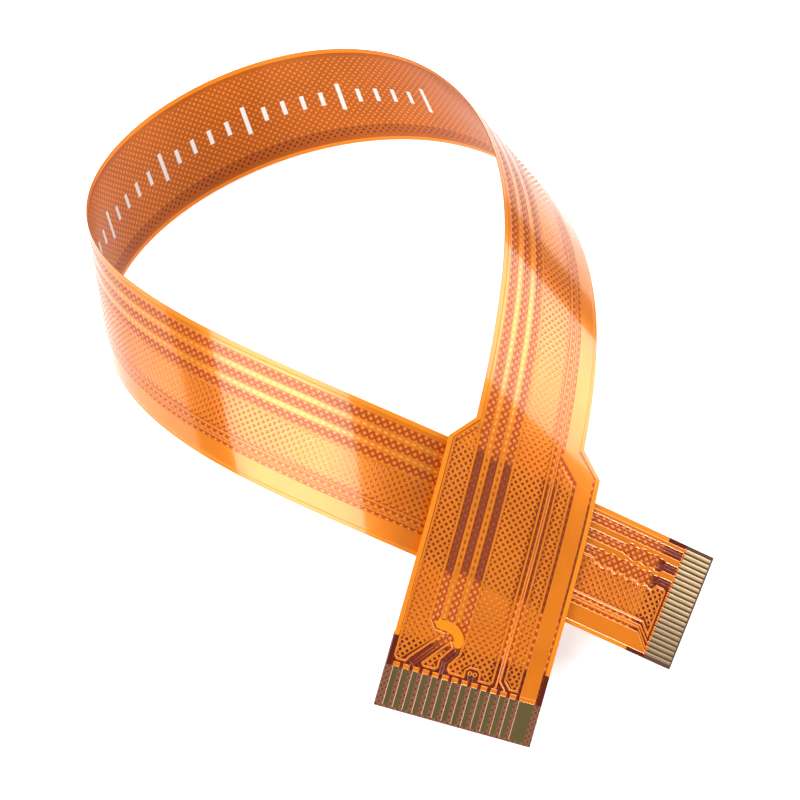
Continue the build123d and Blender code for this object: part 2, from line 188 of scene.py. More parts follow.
class Ribbon:
    """The smooth bent surface on which every skin is wrapped."""

    STEP = 0.1
    ROUNDS = 12

    def __init__(self, plan: BendPlan, layers: Layers, stiffener: str, stiffener_length: float) -> None:
        """Adds the bends up along the cable, starting from a stiffener of the frame.

        Args:
            plan: The bends.
            layers: Heights of the layers.
            stiffener: Name of the wide stiffener's node.
            stiffener_length: Its length along the cable.
        """
        self.plan = plan
        count = round(plan.length / self.STEP)
        self.stations = np.linspace(0.0, plan.length, count + 1)
        middle = (self.stations[1:] + self.stations[:-1]) / 2
        turn, tilt, roll = (math.radians(angle) for angle in plan.tip_turns)
        tip = Matrix.Rotation(turn, 3, "X") @ Matrix.Rotation(tilt, 3, "Y") @ Matrix.Rotation(roll, 3, "Z")
        self.frames = np.empty((count + 1, 3, 3))
        self.frames[0] = np.array(tip)
        for i, step in enumerate(self._steps(plan.rate(middle) * self.STEP, plan.lean(middle))):
            self.frames[i + 1] = self.frames[i] @ step
        low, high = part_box(stiffener)
        centre = np.array((Vector(low) + Vector(high)) / 2) / MM
        height = (layers.back - layers.cover) / 2
        start = centre - self.frames[0] @ np.array([stiffener_length / 2, 0.0, height])
        along = (self.frames[1:, :, 0] + self.frames[:-1, :, 0]) / 2 * self.STEP
        self.points = np.vstack([start, start + np.cumsum(along, axis=0)])

    @staticmethod
    def _steps(turns: np.ndarray, leans: np.ndarray) -> np.ndarray:
        """Rotations about the bend lines, in the ribbon's own directions."""
        axes = np.stack([leans, np.ones_like(leans), np.zeros_like(leans)], 1)
        axes /= np.linalg.norm(axes, axis=1)[:, None]
        cross = np.zeros((len(turns), 3, 3))
        cross[:, 0, 2], cross[:, 1, 2] = axes[:, 1], -axes[:, 0]
        cross[:, 2, 0], cross[:, 2, 1] = -axes[:, 1], axes[:, 0]
        sine, cosine = np.sin(turns)[:, None, None], np.cos(turns)[:, None, None]
        return np.eye(3) + sine * cross + (1 - cosine) * (cross @ cross)

    def place(self, flat: np.ndarray) -> tuple[np.ndarray, np.ndarray]:
        """Where flat points come to lie.

        Args:
            flat: Rows of distance along, place across and height.

        Returns:
            Places in millimetres, and the directions along, across and out as columns.
        """
        along, across, height = flat.T
        station = along.copy()
        for _ in range(self.ROUNDS):
            station = np.clip(along - across * self.plan.lean(station), 0.0, self.plan.length)
        spot = station / self.STEP
        low = np.clip(spot.astype(int), 0, len(self.stations) - 2)
        share = (spot - low)[:, None]
        point = self.points[low] * (1 - share) + self.points[low + 1] * share
        share = share[:, :, None]
        frame = self.frames[low] * (1 - share) + self.frames[low + 1] * share
        frame /= np.linalg.norm(frame, axis=1)[:, None, :]
        place = point + (along - station)[:, None] * frame[:, :, 0]
        return place + across[:, None] * frame[:, :, 1] + height[:, None] * frame[:, :, 2], frame

    def wrap(self, mesh: bpy.types.Mesh) -> None:
        """Moves a flat mesh onto the ribbon, with smooth normals and its flat places as a map.

        Args:
            mesh: Mesh whose vertices are flat places in millimetres.
        """
        flat = np.empty(len(mesh.vertices) * 3)
        mesh.vertices.foreach_get("co", flat)
        flat = flat.reshape(-1, 3)
        corners = np.empty(len(mesh.loops), dtype=np.int64)
        mesh.loops.foreach_get("vertex_index", corners)
        normals = np.empty(len(mesh.polygons) * 3)
        mesh.polygons.foreach_get("normal", normals)
        totals = np.empty(len(mesh.polygons), dtype=np.int64)
        mesh.polygons.foreach_get("loop_total", totals)
        normals = np.repeat(normals.reshape(-1, 3), totals, axis=0)
        places, frames = self.place(flat)
        chart = mesh.uv_layers.new(name=FLAT_MAP)
        chart.data.foreach_set("uv", flat[corners, :2].ravel())
        mesh.vertices.foreach_set("co", (places * MM).ravel())
        mesh.update()
        bent = np.einsum("nij,nj->ni", frames[corners], normals)
        mesh.polygons.foreach_set("use_smooth", np.ones(len(mesh.polygons), dtype=bool))
        mesh.normals_split_custom_set(bent.tolist())
        mesh.update()


def offset(outline: Sequence[Point], distance: float) -> list[Point]:
    """Closed outline moved outward by a distance, with mitred corners.

    Args:
        outline: Counterclockwise outline.
        distance: Outward distance, negative for inward.

    Returns:
        The moved outline.
    """
    points = np.array(outline)
    ahead = np.roll(points, -1, axis=0) - points
    ahead /= np.linalg.norm(ahead, axis=1)[:, None]
    behind = np.roll(ahead, 1, axis=0)
    out = np.stack([ahead[:, 1] + behind[:, 1], -ahead[:, 0] - behind[:, 0]], 1)
    scale = 1 + (ahead * behind).sum(1)
    return [tuple(p) for p in points + distance * out / scale[:, None]]


def counterclockwise(outline: Sequence[Point]) -> list[Point]:
    """The same outline, running counterclockwise and without doubled points."""
    kept = [p for i, p in enumerate(outline) if math.dist(p, outline[i - 1]) > 1e-6]
    area = sum(a[0] * b[1] - b[0] * a[1] for a, b in zip(kept, kept[1:] + kept[:1]))
    return kept if area > 0 else kept[::-1]


def beside(route: Sequence[Point], shift: float) -> list[Point]:
    """Line at a sideways offset from a route, with mitred corners.

    Args:
        route: Points of the route.
        shift: Sideways offset.

    Returns:
        Points of the line.
    """
    points = np.array(route)
    ahead = np.diff(points, axis=0)
    ahead /= np.linalg.norm(ahead, axis=1)[:, None]
    before, after = np.vstack([ahead[:1], ahead]), np.vstack([ahead, ahead[-1:]])
    side = np.stack([-before[:, 1] - after[:, 1], before[:, 0] + after[:, 0]], 1)
    scale = 1 + (before * after).sum(1)
    return [tuple(p) for p in points + shift * side / scale[:, None]]


def band(route: Sequence[Point], low: float, high: float) -> list[Point]:
    """Outline of a strip between two sideways offsets from a route."""
    return beside(route, low) + beside(route, high)[::-1]


def softened(outline: Sequence[Point], rounds: int = 3, share: float = 0.25) -> list[Point]:
    """Outline with its corners cut back again and again until they look round.

    Args:
        outline: The outline.
        rounds: How often the corners are cut.
        share: Share of each side that a cut takes at either end.

    Returns:
        The softened outline.
    """
    points = np.array(outline)
    for _ in range(rounds):
        step = (np.roll(points, -1, axis=0) - points) * share
        points = np.stack([points + step, points + step * (1 / share - 1)], 1).reshape(-1, 2)
    return [tuple(p) for p in points]


def ring_of(centre: Point, radius: float, count: int, first: float = 0.0) -> list[Point]:
    """Corners of an even-sided outline around a centre.

    Args:
        centre: The centre.
        radius: Distance of the corners from it.
        count: Number of corners.
        first: Direction of the first corner, in degrees.

    Returns:
        The corners, counterclockwise.
    """
    turns = [math.radians(first + 360 / count * i) for i in range(count)]
    return [(centre[0] + radius * math.cos(t), centre[1] + radius * math.sin(t)) for t in turns]


def inside(points: np.ndarray, outline: Sequence[Point]) -> np.ndarray:
    """Which flat points lie inside an outline.

    Args:
        points: Rows of two coordinates.
        outline: The outline.

    Returns:
        True for each point that lies inside.
    """
    x, y = points[:, 0], points[:, 1]
    found = np.zeros(len(points), dtype=bool)
    for (ax, ay), (bx, by) in zip(outline, [*outline[1:], outline[0]]):
        if ay != by:
            found ^= ((ay > y) != (by > y)) & (x < (bx - ax) * (y - ay) / (by - ay) + ax)
    return found


@dataclass(frozen=True)
class Layout:
    """Flat layout of the copper, with the same sizes as the parts of the frame."""

    length: float = 200.0
    wide_pitch: float = 1.0
    wide_places: int = 15
    double_places: int = 2
    wide_finger: float = 0.60
    wide_bare: float = 4.0
    wide_root: float = 4.4
    wide_inset: float = 0.2
    wide_stiffener: float = 7.1
    narrow_pitch: float = 0.5
    narrow_places: int = 22
    narrow_finger: float = 0.30
    narrow_bare: float = 2.95
    narrow_root: float = 3.1
    narrow_inset: float = 0.15
    narrow_stiffener: float = 5.0
    wide_length: float = 26.1
    shoulder_run: float = 2.4
    pair_places: tuple[float, ...] = (1.5, 4.5, 7.5)
    signal_places: tuple[int, ...] = (19, 20)
    power_place: int = 21
    channel: float = 0.90
    signal_channel: float = 1.05
    power_width: float = 1.60
    edge_margin: float = 0.45
    power_margin: float = 0.40
    track: float = 0.12
    pair_gap: float = 0.16
    signal_gap: float = 0.12
    fan_places: tuple[float, ...] = (4.5, 1.5)
    via_places: tuple[int, ...] = (7, 8)
    wide_signal_places: tuple[int, ...] = (10, 11)
    wide_margin: float = 0.55
    wide_power_margin: float = 0.70
    power_gap: float = 0.35
    power_slant: float = 0.90
    corner_cut: float = 0.30
    fan_length: float = 5.1
    slant_length: float = 3.2
    turn_length: float = 2.4
    bridge_width: float = 0.80
    bridge_clearance: float = 0.20
    via_reach: float = 0.8
    via_spacing: float = 0.5
    via_radius: float = 0.21
    via_clearance: float = 0.45
    jog_length: float = 1.35
    root_gap: float = 0.25
    wave_length: float = 1.35
    wave_height: float = 0.25
    wave_counts: tuple[int, ...] = (0, 3, 5)
    wave_shifts: tuple[float, ...] = (0.0, 0.0, -0.22)
    wave_room: float = 0.22
    side_share: float = 0.3
    wave_end: float = 1.5
    # Inset of the painted highlight line from the edge of a wide finger.
    glint_inset: float = 0.04

    @cached_property
    def double_start(self) -> float:
        """Place across the cable just inside the first edge of the double finger."""
        return self.wide_place(self.wide_places - self.double_places) - self.wide_pitch / 4

    @cached_property
    def half_body(self) -> float:
        """Half the width of the body."""
        return (self.narrow_places + 1) * self.narrow_pitch / 2

    @cached_property
    def half_wide(self) -> float:
        """Half the width of the wide part."""
        return (self.wide_places + 1) * self.wide_pitch / 2

    @cached_property
    def width(self) -> float:
        """Greatest width of the flat cable."""
        return 2 * self.half_wide

    @cached_property
    def area(self) -> float:
        """Area of the flat cable."""
        outline = self.cable(0.0, self.length)
        return abs(sum(a[0] * b[1] - b[0] * a[1] for a, b in zip(outline, outline[1:] + outline[:1]))) / 2

    @cached_property
    def cover_end(self) -> float:
        """Where the front cover film stops at the narrow tip."""
        return self.length - self.narrow_bare

    @cached_property
    def narrow_support(self) -> float:
        """Where the narrow stiffener begins."""
        return self.length - self.narrow_stiffener

    @cached_property
    def root_end(self) -> float:
        """Where the tracks meet the narrow fingers."""
        return self.length - self.narrow_root

    @cached_property
    def pair_end(self) -> float:
        """Where the pairs leave the front layer."""
        return self.wide_root + self.fan_length

    @cached_property
    def pair_lines(self) -> list[float]:
        """Places across the cable of the pairs."""
        return [self.narrow_place(place) for place in self.pair_places]

    @cached_property
    def power_out(self) -> float:
        """Outer side of the power strip in the body."""
        return self.power_margin - self.half_body

    @cached_property
    def power_in(self) -> float:
        """Inner side of the power strip in the body."""
        return self.power_out + self.power_width

    @cached_property
    def middle_end(self) -> float:
        """Side of the middle ground towards the single tracks."""
        return self.power_in + self.signal_channel

    def wide_place(self, index: float) -> float:
        """Place across the cable of a wide contact, counted from the first edge."""
        return ((self.wide_places - 1) / 2 - index) * self.wide_pitch

    def narrow_place(self, index: float) -> float:
        """Place across the cable of a narrow contact, counted from the first edge."""
        return ((self.narrow_places - 1) / 2 - index) * self.narrow_pitch

    def cable(self, start: float, end: float, inset: float = 0.0) -> list[Point]:
        """Outline of the cable between two distances, pulled in from its edges.

        Args:
            start: First distance from the wide tip.
            end: Last distance.
            inset: How far the outline is pulled in.

        Returns:
            The outline.
        """
        body, wide = self.half_body - inset, self.half_wide - inset
        shift = inset * math.tan(math.atan2(self.half_wide - self.half_body, self.shoulder_run) / 2)
        turn = self.wide_length - shift
        side = [(start, wide), (turn, wide), (turn + self.shoulder_run, body), (end, body)]
        return side + [(along, -across) for along, across in reversed(side)]

    def finger(self, across: float, width: float, start: float, end: float) -> list[Point]:
        """Outline of one contact finger."""
        return band([(start, across), (end, across)], -width / 2, width / 2)

    def wide_fingers(self, start: float, end: float) -> dict[str, list[Point]]:
        """Outlines of the wide fingers by node name, between two distances."""
        singles = self.wide_places - self.double_places
        found = {
            f"wide_contact_{i + 1:02d}": self.finger(self.wide_place(i), self.wide_finger, start, end)
            for i in range(singles)
        }
        double = self.wide_finger + (self.double_places - 1) * self.wide_pitch
        middle = self.wide_place(singles + (self.double_places - 1) / 2)
        found["wide_power_contact"] = self.finger(middle, double, start, end)
        return found

    def narrow_fingers(self, start: float, end: float) -> dict[str, list[Point]]:
        """Outlines of the narrow fingers by node name, between two distances."""
        return {
            f"narrow_contact_{i + 1:02d}": self.finger(self.narrow_place(i), self.narrow_finger, start, end)
            for i in range(self.narrow_places)
        }

    def wavy_line(self, index: int, height: float, shift: float, room: float) -> list[Point]:
        """Line along a pair that follows its waves with the given height and extra room."""
        line, count = self.pair_lines[index] + shift, self.wave_counts[index]
        last = self.root_end - self.wave_end
        first = last - count * self.wave_length
        points = [(self.pair_end, line)]
        if count:
            points.append((first - self.wave_length / 8, line))
            for i in range(4 * count):
                crest = height if i % 4 < 2 else -height
                across = line + self.wave_shifts[index] + room + crest
                points.append((first + (i + 0.5) * self.wave_length / 4, across))
            points.append((last + self.wave_length / 8, line))
        return points + [(self.root_end, line)]

    def channel_side(self, index: int, side: int) -> list[Point]:
        """Edge of the ground beside the channel of a pair."""
        height = self.wave_height * self.side_share
        return self.wavy_line(index, height, side * self.channel / 2, side * self.wave_room)

    def slanted_fan(self) -> list[Point]:
        """Route of the second pair behind the wide fingers."""
        place, start = self.wide_place(self.fan_places[1]), self.wide_root + self.corner_cut
        end = (start + self.slant_length, self.pair_lines[1] - self.pair_gap)
        return [(self.wide_root, place), (start, place), end]

    def bent_fan(self) -> list[Point]:
        """Route of the first pair behind the wide fingers."""
        place, turn = self.wide_place(self.fan_places[0]), self.turn_length
        end = (self.wide_root + turn, self.pair_lines[2] + self.pair_gap)
        return [(self.wide_root, place), (self.wide_root + turn / 2, place), end]

    def pairs(self) -> dict[str, list[list[Point]]]:
        """Outlines of the tracks of the pairs by node name."""
        near, far = self.pair_gap / 2, self.pair_gap / 2 + self.track
        fans = (self.bent_fan(), self.slanted_fan())
        middle = self.wide_place(sum(self.via_places) / 2)
        found = {}
        for i in range(len(self.pair_lines)):
            for letter, sign in (("a", 1), ("b", -1)):
                low, high = sorted((sign * near, sign * far))
                outlines = [band(self.wavy_line(i, self.wave_height, 0.0, 0.0), low, high)]
                if i < len(fans):
                    outlines.append(band(fans[i], low, high))
                else:
                    outlines.append(self.via_track(middle + sign * self.via_spacing / 2))
                found[f"pair_{i + 1}{letter}_track"] = outlines
        return found

    def via_track(self, across: float) -> list[Point]:
        """Outline of a plated hole's pad and its short track."""
        centre = (self.wide_root + self.via_reach, across)
        ring = ring_of(centre, self.via_radius, 8, 202.5)
        return [(self.wide_root, ring[0][1]), *ring, (self.wide_root, ring[-1][1])]

    def signal_route(self, index: int) -> list[Point]:
        """Route of a single track."""
        line = (self.middle_end + self.power_in) / 2 + (0.5 - index) * (self.track + self.signal_gap)
        wide = self.wide_place(self.wide_signal_places[index])
        narrow = self.narrow_place(self.signal_places[index])
        start, slant = self.wide_root + self.track, self.root_end - self.jog_length
        return [
            (self.wide_root, wide),
            (start, wide),
            (start + abs(wide - line), line),
            (slant - index * self.track, line),
            (self.root_end - self.track, narrow),
            (self.root_end, narrow),
        ]

    def signals(self) -> dict[str, list[Point]]:
        """Outlines of the single tracks by node name."""
        half = self.track / 2
        return {
            f"signal_track_{i + 1}": band(self.signal_route(i), -half, half)
            for i in range(len(self.signal_places))
        }

    def power(self) -> list[Point]:
        """Outline of the power strip."""
        out, slant = self.wide_power_margin - self.half_wide, self.wide_length - self.power_slant
        inner = out + self.power_width
        return [
            (self.wide_root, out),
            (self.wide_length, out),
            (self.wide_length + self.power_out - out, self.power_out),
            (self.root_end, self.power_out),
            (self.root_end, self.narrow_place(self.power_place) + self.narrow_finger / 2),
            (self.root_end - self.jog_length, self.power_in),
            (slant + self.power_in - inner, self.power_in),
            (slant, inner),
            (self.wide_root, inner),
        ]

    def edge_hatch(self) -> list[Point]:
        """Outline of the hatched ground along the first edge of the wide part."""
        start, cut = self.wide_root + self.root_gap, self.corner_cut
        out, edge = self.half_wide - self.wide_margin, self.half_body - self.edge_margin
        fan, line = beside(self.slanted_fan(), self.channel / 2), self.pair_lines[0] + self.channel / 2
        return [
            (start, out - cut),
            (start + cut, out),
            (self.wide_length, out),
            (self.wide_length + out - edge, edge),
            (self.wide_length + out - edge, line),
            (self.pair_end - self.bridge_width / 2, line),
            (
                self.pair_end - self.bridge_width - 2 * self.bridge_clearance,
                self.pair_lines[0] - self.bridge_clearance,
            ),
            fan[2],
            (fan[1][0] + cut, fan[1][1]),
            (start, fan[1][1] + cut),
        ]

    def edge_strip(self) -> list[Point]:
        """Outline of the narrow ground strip along the first edge of the body."""
        start, edge = self.wide_length + self.wide_margin, self.half_body - self.edge_margin
        line = self.pair_lines[0] + self.channel / 2
        return [(start, line), (self.root_end, line), (self.root_end, edge), (start, edge)]

    def ground_strip(self, index: int) -> list[Point]:
        """Outline of a ground strip between the channels of two pairs."""
        return self.channel_side(index, -1) + self.channel_side(index + 1, 1)[::-1]

    def middle_ground(self) -> list[Point]:
        """Outline of the broad ground area."""
        start, cut = self.wide_root + self.root_gap, self.corner_cut
        slant, end = self.root_end - self.jog_length, self.root_end - self.root_gap
        fan, pair = beside(self.bent_fan(), -self.channel / 2), self.channel_side(2, -1)
        hole = self.wide_place(sum(self.via_places) / 2)
        half = self.via_spacing / 2 + self.via_clearance
        top = self.wide_root + self.via_reach + self.via_clearance
        return [
            (start, hole - half),
            (start, self.middle_end + cut),
            (start + cut, self.middle_end),
            (slant, self.middle_end),
            (end, self.middle_end - self.jog_length + self.root_gap),
            (end, pair[-1][1] - cut),
            (end - cut, pair[-1][1]),
            *pair[-2:0:-1],
            (self.pair_end - self.bridge_width, pair[0][1]),
            fan[2],
            fan[1],
            (start + cut, fan[0][1]),
            (start, fan[0][1] - cut),
            (start, hole + half),
            (top - cut, hole + half),
            (top, hole + half - cut),
            (top, hole - half + cut),
            (top - cut, hole - half),
        ]

    def fan_ground(self) -> list[Point]:
        """Outline of the small three-sided ground area."""
        start, cut = self.wide_root + self.root_gap, self.corner_cut
        slanted = beside(self.slanted_fan(), -self.channel / 2)
        bent = beside(self.bent_fan(), self.channel / 2)
        places, values = zip(*slanted[1:])
        corner = float(np.interp(start + cut, places, values))
        return [
            (start, bent[0][1] + cut),
            (start + cut, bent[0][1]),
            bent[1],
            bent[2],
            slanted[2],
            (start + cut, corner),
            (start, corner - cut),
        ]

    def side_ground(self) -> list[Point]:
        """Outline of the narrow ground area beside the power strip."""
        start = self.wide_root + self.root_gap
        slant = self.wide_length - self.power_slant - self.power_gap
        outer = self.wide_power_margin - self.half_wide + self.power_width + self.power_gap
        jog = beside(self.signal_route(1), -self.signal_channel / 2 + self.signal_gap)
        return [
            (start, outer),
            (slant, outer),
            (slant + self.power_in - outer, self.power_in),
            (jog[2][0], self.power_in),
            (start, self.power_in - jog[2][0] + start),
        ]

    def bridge(self) -> list[Point]:
        """Outline of the copper patch over the crossing of two pairs."""
        end = self.pair_end - self.bridge_width / 2 - self.bridge_clearance
        route = [
            (end, self.pair_lines[0] - self.bridge_clearance),
            (end, self.pair_lines[1] - self.bridge_width / 2),
            (end - self.bridge_width, self.pair_lines[2] + self.pair_gap),
            (
                self.wide_root + self.turn_length + 2 * self.bridge_clearance,
                self.pair_lines[2] + self.pair_gap,
            ),
        ]
        return band(route, -self.bridge_width / 2, self.bridge_width / 2)


class FlatMesh:
    """A mesh drawn flat, which is cut along the bend lines and wrapped onto the ribbon."""

    SPACING = 0.7
    ACROSS = 0.5
    LEAN_REACH = 9.0
    BENT_END = 193.0
    HALF_WIDTH = 8.0
    FLAT_ENDS = ((4.0, 8.0), (193.0, 197.0))

    def __init__(self, ribbon: Ribbon) -> None:
        """Starts an empty flat mesh.

        Args:
            ribbon: The ribbon it is wrapped onto.
        """
        self.ribbon = ribbon
        self.mesh = bmesh.new()

    def _ring(self, outline: Iterable[Point], height: float) -> list[bmesh.types.BMVert]:
        """Adds the corners of an outline at one height."""
        return [self.mesh.verts.new((along, across, height)) for along, across in outline]

    def _wall(self, low: list[bmesh.types.BMVert], high: list[bmesh.types.BMVert]) -> None:
        """Adds the faces between two rings."""
        for i in range(len(low)):
            j = (i + 1) % len(low)
            self.mesh.faces.new((low[i], low[j], high[j], high[i]))

    def slab(self, outline: Sequence[Point], low: float, high: float) -> "FlatMesh":
        """Adds a closed plate.

        Args:
            outline: Its outline.
            low: Height of its back.
            high: Height of its front.

        Returns:
            This mesh.
        """
        outline = counterclockwise(outline)
        bottom, top = self._ring(outline, low), self._ring(outline, high)
        self._wall(bottom, top)
        self.mesh.faces.new(top)
        self.mesh.faces.new(bottom[::-1])
        return self

    def hill(self, outline: Sequence[Point], low: float, high: float, slope: float) -> "FlatMesh":
        """Adds a raised area with sloping sides and no underside.

        Args:
            outline: Outline at half height.
            low: Height at its foot.
            high: Height of its top.
            slope: Width of the slope.

        Returns:
            This mesh.
        """
        outline = counterclockwise(outline)
        foot, top = self._ring(offset(outline, slope / 2), low), self._ring(offset(outline, -slope / 2), high)
        self._wall(foot, top)
        self.mesh.faces.new(top)
        return self

    def rim(
        self, outline: Sequence[Point], low: float, high: float, slope: float, width: float
    ) -> "FlatMesh":
        """Adds a raised border along an outline.

        Args:
            outline: Outer outline at half height.
            low: Height at its foot.
            high: Height of its top.
            slope: Width of the slopes.
            width: Width of the border.

        Returns:
            This mesh.
        """
        outline = counterclockwise(outline)
        rings = [
            self._ring(offset(outline, slope / 2), low),
            self._ring(offset(outline, -slope / 2), high),
            self._ring(offset(outline, slope / 2 - width), high),
            self._ring(offset(outline, -slope / 2 - width), low),
        ]
        for outer, inner in zip(rings, rings[1:]):
            self._wall(outer, inner)
        return self

    def add(self, mesh: bpy.types.Mesh) -> "FlatMesh":
        """Adds a finished flat mesh, such as baked hatch cells."""
        self.mesh.from_mesh(mesh)
        return self

    def cut(self, across: bool = False) -> "FlatMesh":
        """Cuts the faces along closely spaced bend lines.

        Args:
            across: Whether the faces are also cut lengthwise.

        Returns:
            This mesh.
        """
        flat = np.array([v.co[:2] for v in self.mesh.verts])
        first, last = flat[:, 0].min() - self.LEAN_REACH, flat[:, 0].max() + self.LEAN_REACH
        start, end = max(self.ribbon.plan.wide_flat, first), min(self.BENT_END, last)
        stations = np.arange(start, end, self.SPACING)
        for station, slant in zip(stations, self.ribbon.plan.lean(stations)):
            self._bisect((station, 0.0, 0.0), (1.0, -slant, 0.0))
        if across:
            for place in np.arange(self.ACROSS / 2 - self.HALF_WIDTH, self.HALF_WIDTH, self.ACROSS):
                self._bisect((0.0, place, 0.0), (0.0, 1.0, 0.0))
            for start, end in self.FLAT_ENDS:
                for place in np.arange(start, end, self.SPACING):
                    self._bisect((place, 0.0, 0.0), (1.0, 0.0, 0.0))
        return self

    def _bisect(self, point: Sequence[float], normal: Sequence[float]) -> None:
        """Cuts every face that a plane crosses."""
        geometry = [*self.mesh.verts, *self.mesh.edges, *self.mesh.faces]
        bmesh.ops.bisect_plane(self.mesh, geom=geometry, dist=1e-6, plane_co=point, plane_no=normal)

    def finish(self, name: str, material: bpy.types.Material) -> bpy.types.Object:
        """Wraps the mesh and makes an object of it.

        Args:
            name: Name of the object.
            material: Its material.

        Returns:
            The object.
        """
        big = [face for face in self.mesh.faces if len(face.verts) > 4]
        bmesh.ops.triangulate(self.mesh, faces=big)
        mesh = bpy.data.meshes.new(name)
        self.mesh.to_mesh(mesh)
        self.mesh.free()
        mesh.materials.clear()
        mesh.materials.append(material)
        self.ribbon.wrap(mesh)
        piece = bpy.data.objects.new(name, mesh)
        bpy.context.scene.collection.objects.link(piece)
        return piece


@dataclass(frozen=True)
class Hatch:
    """Sizes of a hatch: lines at 45 degrees both ways, with square openings between them."""

    pitch: float = 0.5
    opening: float = 0.66
    relief: float = 0.018
    slope: float = 0.05

    def centres(self, outline: Sequence[Point]) -> np.ndarray:
        """Centres of the cells that fit into an outline.

        Args:
            outline: The outline.

        Returns:
            Rows of two coordinates.
        """
        along, across = zip(*outline)
        half = self.pitch / math.sqrt(2)
        columns = np.arange(math.floor(min(along) / half), math.ceil(max(along) / half) + 1)
        rows = np.arange(math.floor(min(across) / half), math.ceil(max(across) / half) + 1)
        grid = np.stack(np.meshgrid(columns, rows, indexing="ij"), -1).reshape(-1, 2)
        grid = grid[grid.sum(1) % 2 == 0] * half
        keep = offset(counterclockwise(outline), -self.pitch / 2)
        return grid[inside(grid, keep)]


class HatchMaker:
    """Makes hatch cells with Geometry Nodes and bakes them."""

    def __init__(self, material: bpy.types.Material) -> None:
        """Builds the node group.

        Args:
            material: Material of the cells.
        """
        self.group = bpy.data.node_groups.new("hatch_cells", "GeometryNodeTree")
        face = self.group.interface
        face.new_socket("Geometry", in_out="INPUT", socket_type="NodeSocketGeometry")
        self.inputs = {
            name: face.new_socket(name, in_out="INPUT", socket_type="NodeSocketFloat").identifier
            for name in ("Pitch", "Opening", "Relief", "Slope")
        }
        face.new_socket("Geometry", in_out="OUTPUT", socket_type="NodeSocketGeometry")
        self._build(material)

    def _node(self, kind: str, **settings: object) -> bpy.types.Node:
        """Adds a node to the group with the given settings."""
        node = self.group.nodes.new(kind)
        for name, value in settings.items():
            setattr(node, name, value)
        return node

    def _maths(self, operation: str, *values: object) -> bpy.types.NodeSocket:
        """Adds a sum of numbers and sockets to the group."""
        node = self._node("ShaderNodeMath", operation=operation)
        for socket, value in zip(node.inputs, values):
            if isinstance(value, bpy.types.NodeSocket):
                self.group.links.new(value, socket)
            else:
                socket.default_value = value
        return node.outputs[0]

    def _ring(self, geometry: bpy.types.NodeSocket, edges: object, scale: object, drop: object) -> tuple:
        """Extrudes the marked edges and moves the new ring inward and down."""
        link = self.group.links.new
        extrude = self._node("GeometryNodeExtrudeMesh", mode="EDGES")
        extrude.inputs["Offset Scale"].default_value = 0.0
        link(geometry, extrude.inputs["Mesh"])
        if edges is not None:
            link(edges, extrude.inputs["Selection"])
        place = self._node("GeometryNodeSetPosition")
        link(extrude.outputs["Mesh"], place.inputs["Geometry"])
        link(extrude.outputs["Top"], place.inputs["Selection"])
        spot = self._node("GeometryNodeInputPosition")
        parts = self._node("ShaderNodeSeparateXYZ")
        link(spot.outputs[0], parts.inputs[0])
        join = self._node("ShaderNodeCombineXYZ")
        link(self._maths("MULTIPLY", parts.outputs[0], scale), join.inputs[0])
        link(self._maths("MULTIPLY", parts.outputs[1], scale), join.inputs[1])
        link(self._maths("SUBTRACT", parts.outputs[2], drop), join.inputs[2])
        link(join.outputs[0], place.inputs["Position"])
        return place.outputs[0], extrude.outputs["Top"]

    def _build(self, material: bpy.types.Material) -> None:
        """Links the nodes: one cell, an instance of it on each point, made real and dressed."""
        link = self.group.links.new
        source, sink = self._node("NodeGroupInput"), self._node("NodeGroupOutput")
        pitch, opening = source.outputs["Pitch"], source.outputs["Opening"]
        circle = self._node("GeometryNodeMeshCircle", fill_type="NONE")
        circle.inputs["Vertices"].default_value = 4
        link(self._maths("DIVIDE", pitch, math.sqrt(2)), circle.inputs["Radius"])
        frame, top = self._ring(circle.outputs["Mesh"], None, opening, 0.0)
        foot = self._maths("DIVIDE", source.outputs["Slope"], self._maths("MULTIPLY", pitch, opening))
        shrink = self._maths("SUBTRACT", 1.0, foot)
        cell, _ = self._ring(frame, top, shrink, source.outputs["Relief"])
        dots = self._node("GeometryNodeMeshToPoints")
        link(source.outputs["Geometry"], dots.inputs["Mesh"])
        place = self._node("GeometryNodeInstanceOnPoints")
        link(dots.outputs[0], place.inputs["Points"])
        link(cell, place.inputs["Instance"])
        real = self._node("GeometryNodeRealizeInstances")
        link(place.outputs[0], real.inputs[0])
        dress = self._node("GeometryNodeSetMaterial")
        dress.inputs["Material"].default_value = material
        link(real.outputs[0], dress.inputs["Geometry"])
        link(dress.outputs[0], sink.inputs[0])

    def bake(self, hatch: Hatch, centres: np.ndarray, height: float, back: bool = False) -> bpy.types.Mesh:
        """Bakes cells at the given centres.

        Args:
            hatch: Sizes of the hatch.
            centres: Centres of the cells.
            height: Height of their tops.
            back: Whether they are on the back face.

        Returns:
            A flat mesh in millimetres.
        """
        dots = bpy.data.meshes.new("hatch_centres")
        dots.from_pydata([(a, c, 0.0) for a, c in centres], [], [])
        carrier = bpy.data.objects.new("hatch_carrier", dots)
        bpy.context.scene.collection.objects.link(carrier)
        cells = carrier.modifiers.new("cells", "NODES")
        cells.node_group = self.group
        for name, socket in self.inputs.items():
            cells[socket] = getattr(hatch, name.lower())
        graph = bpy.context.evaluated_depsgraph_get()
        baked = bpy.data.meshes.new_from_object(carrier.evaluated_get(graph))
        carrier.modifiers.remove(cells)
        bpy.data.objects.remove(carrier)
        shape = bmesh.new()
        shape.from_mesh(baked)
        for face in shape.faces:
            if face.normal.z < 0:
                face.normal_flip()
        for vert in shape.verts:
            vert.co.z += height
        if back:
            for vert in shape.verts:
                vert.co.z = -vert.co.z
            bmesh.ops.reverse_faces(shape, faces=shape.faces)
        shape.to_mesh(baked)
        shape.free()
        return baked


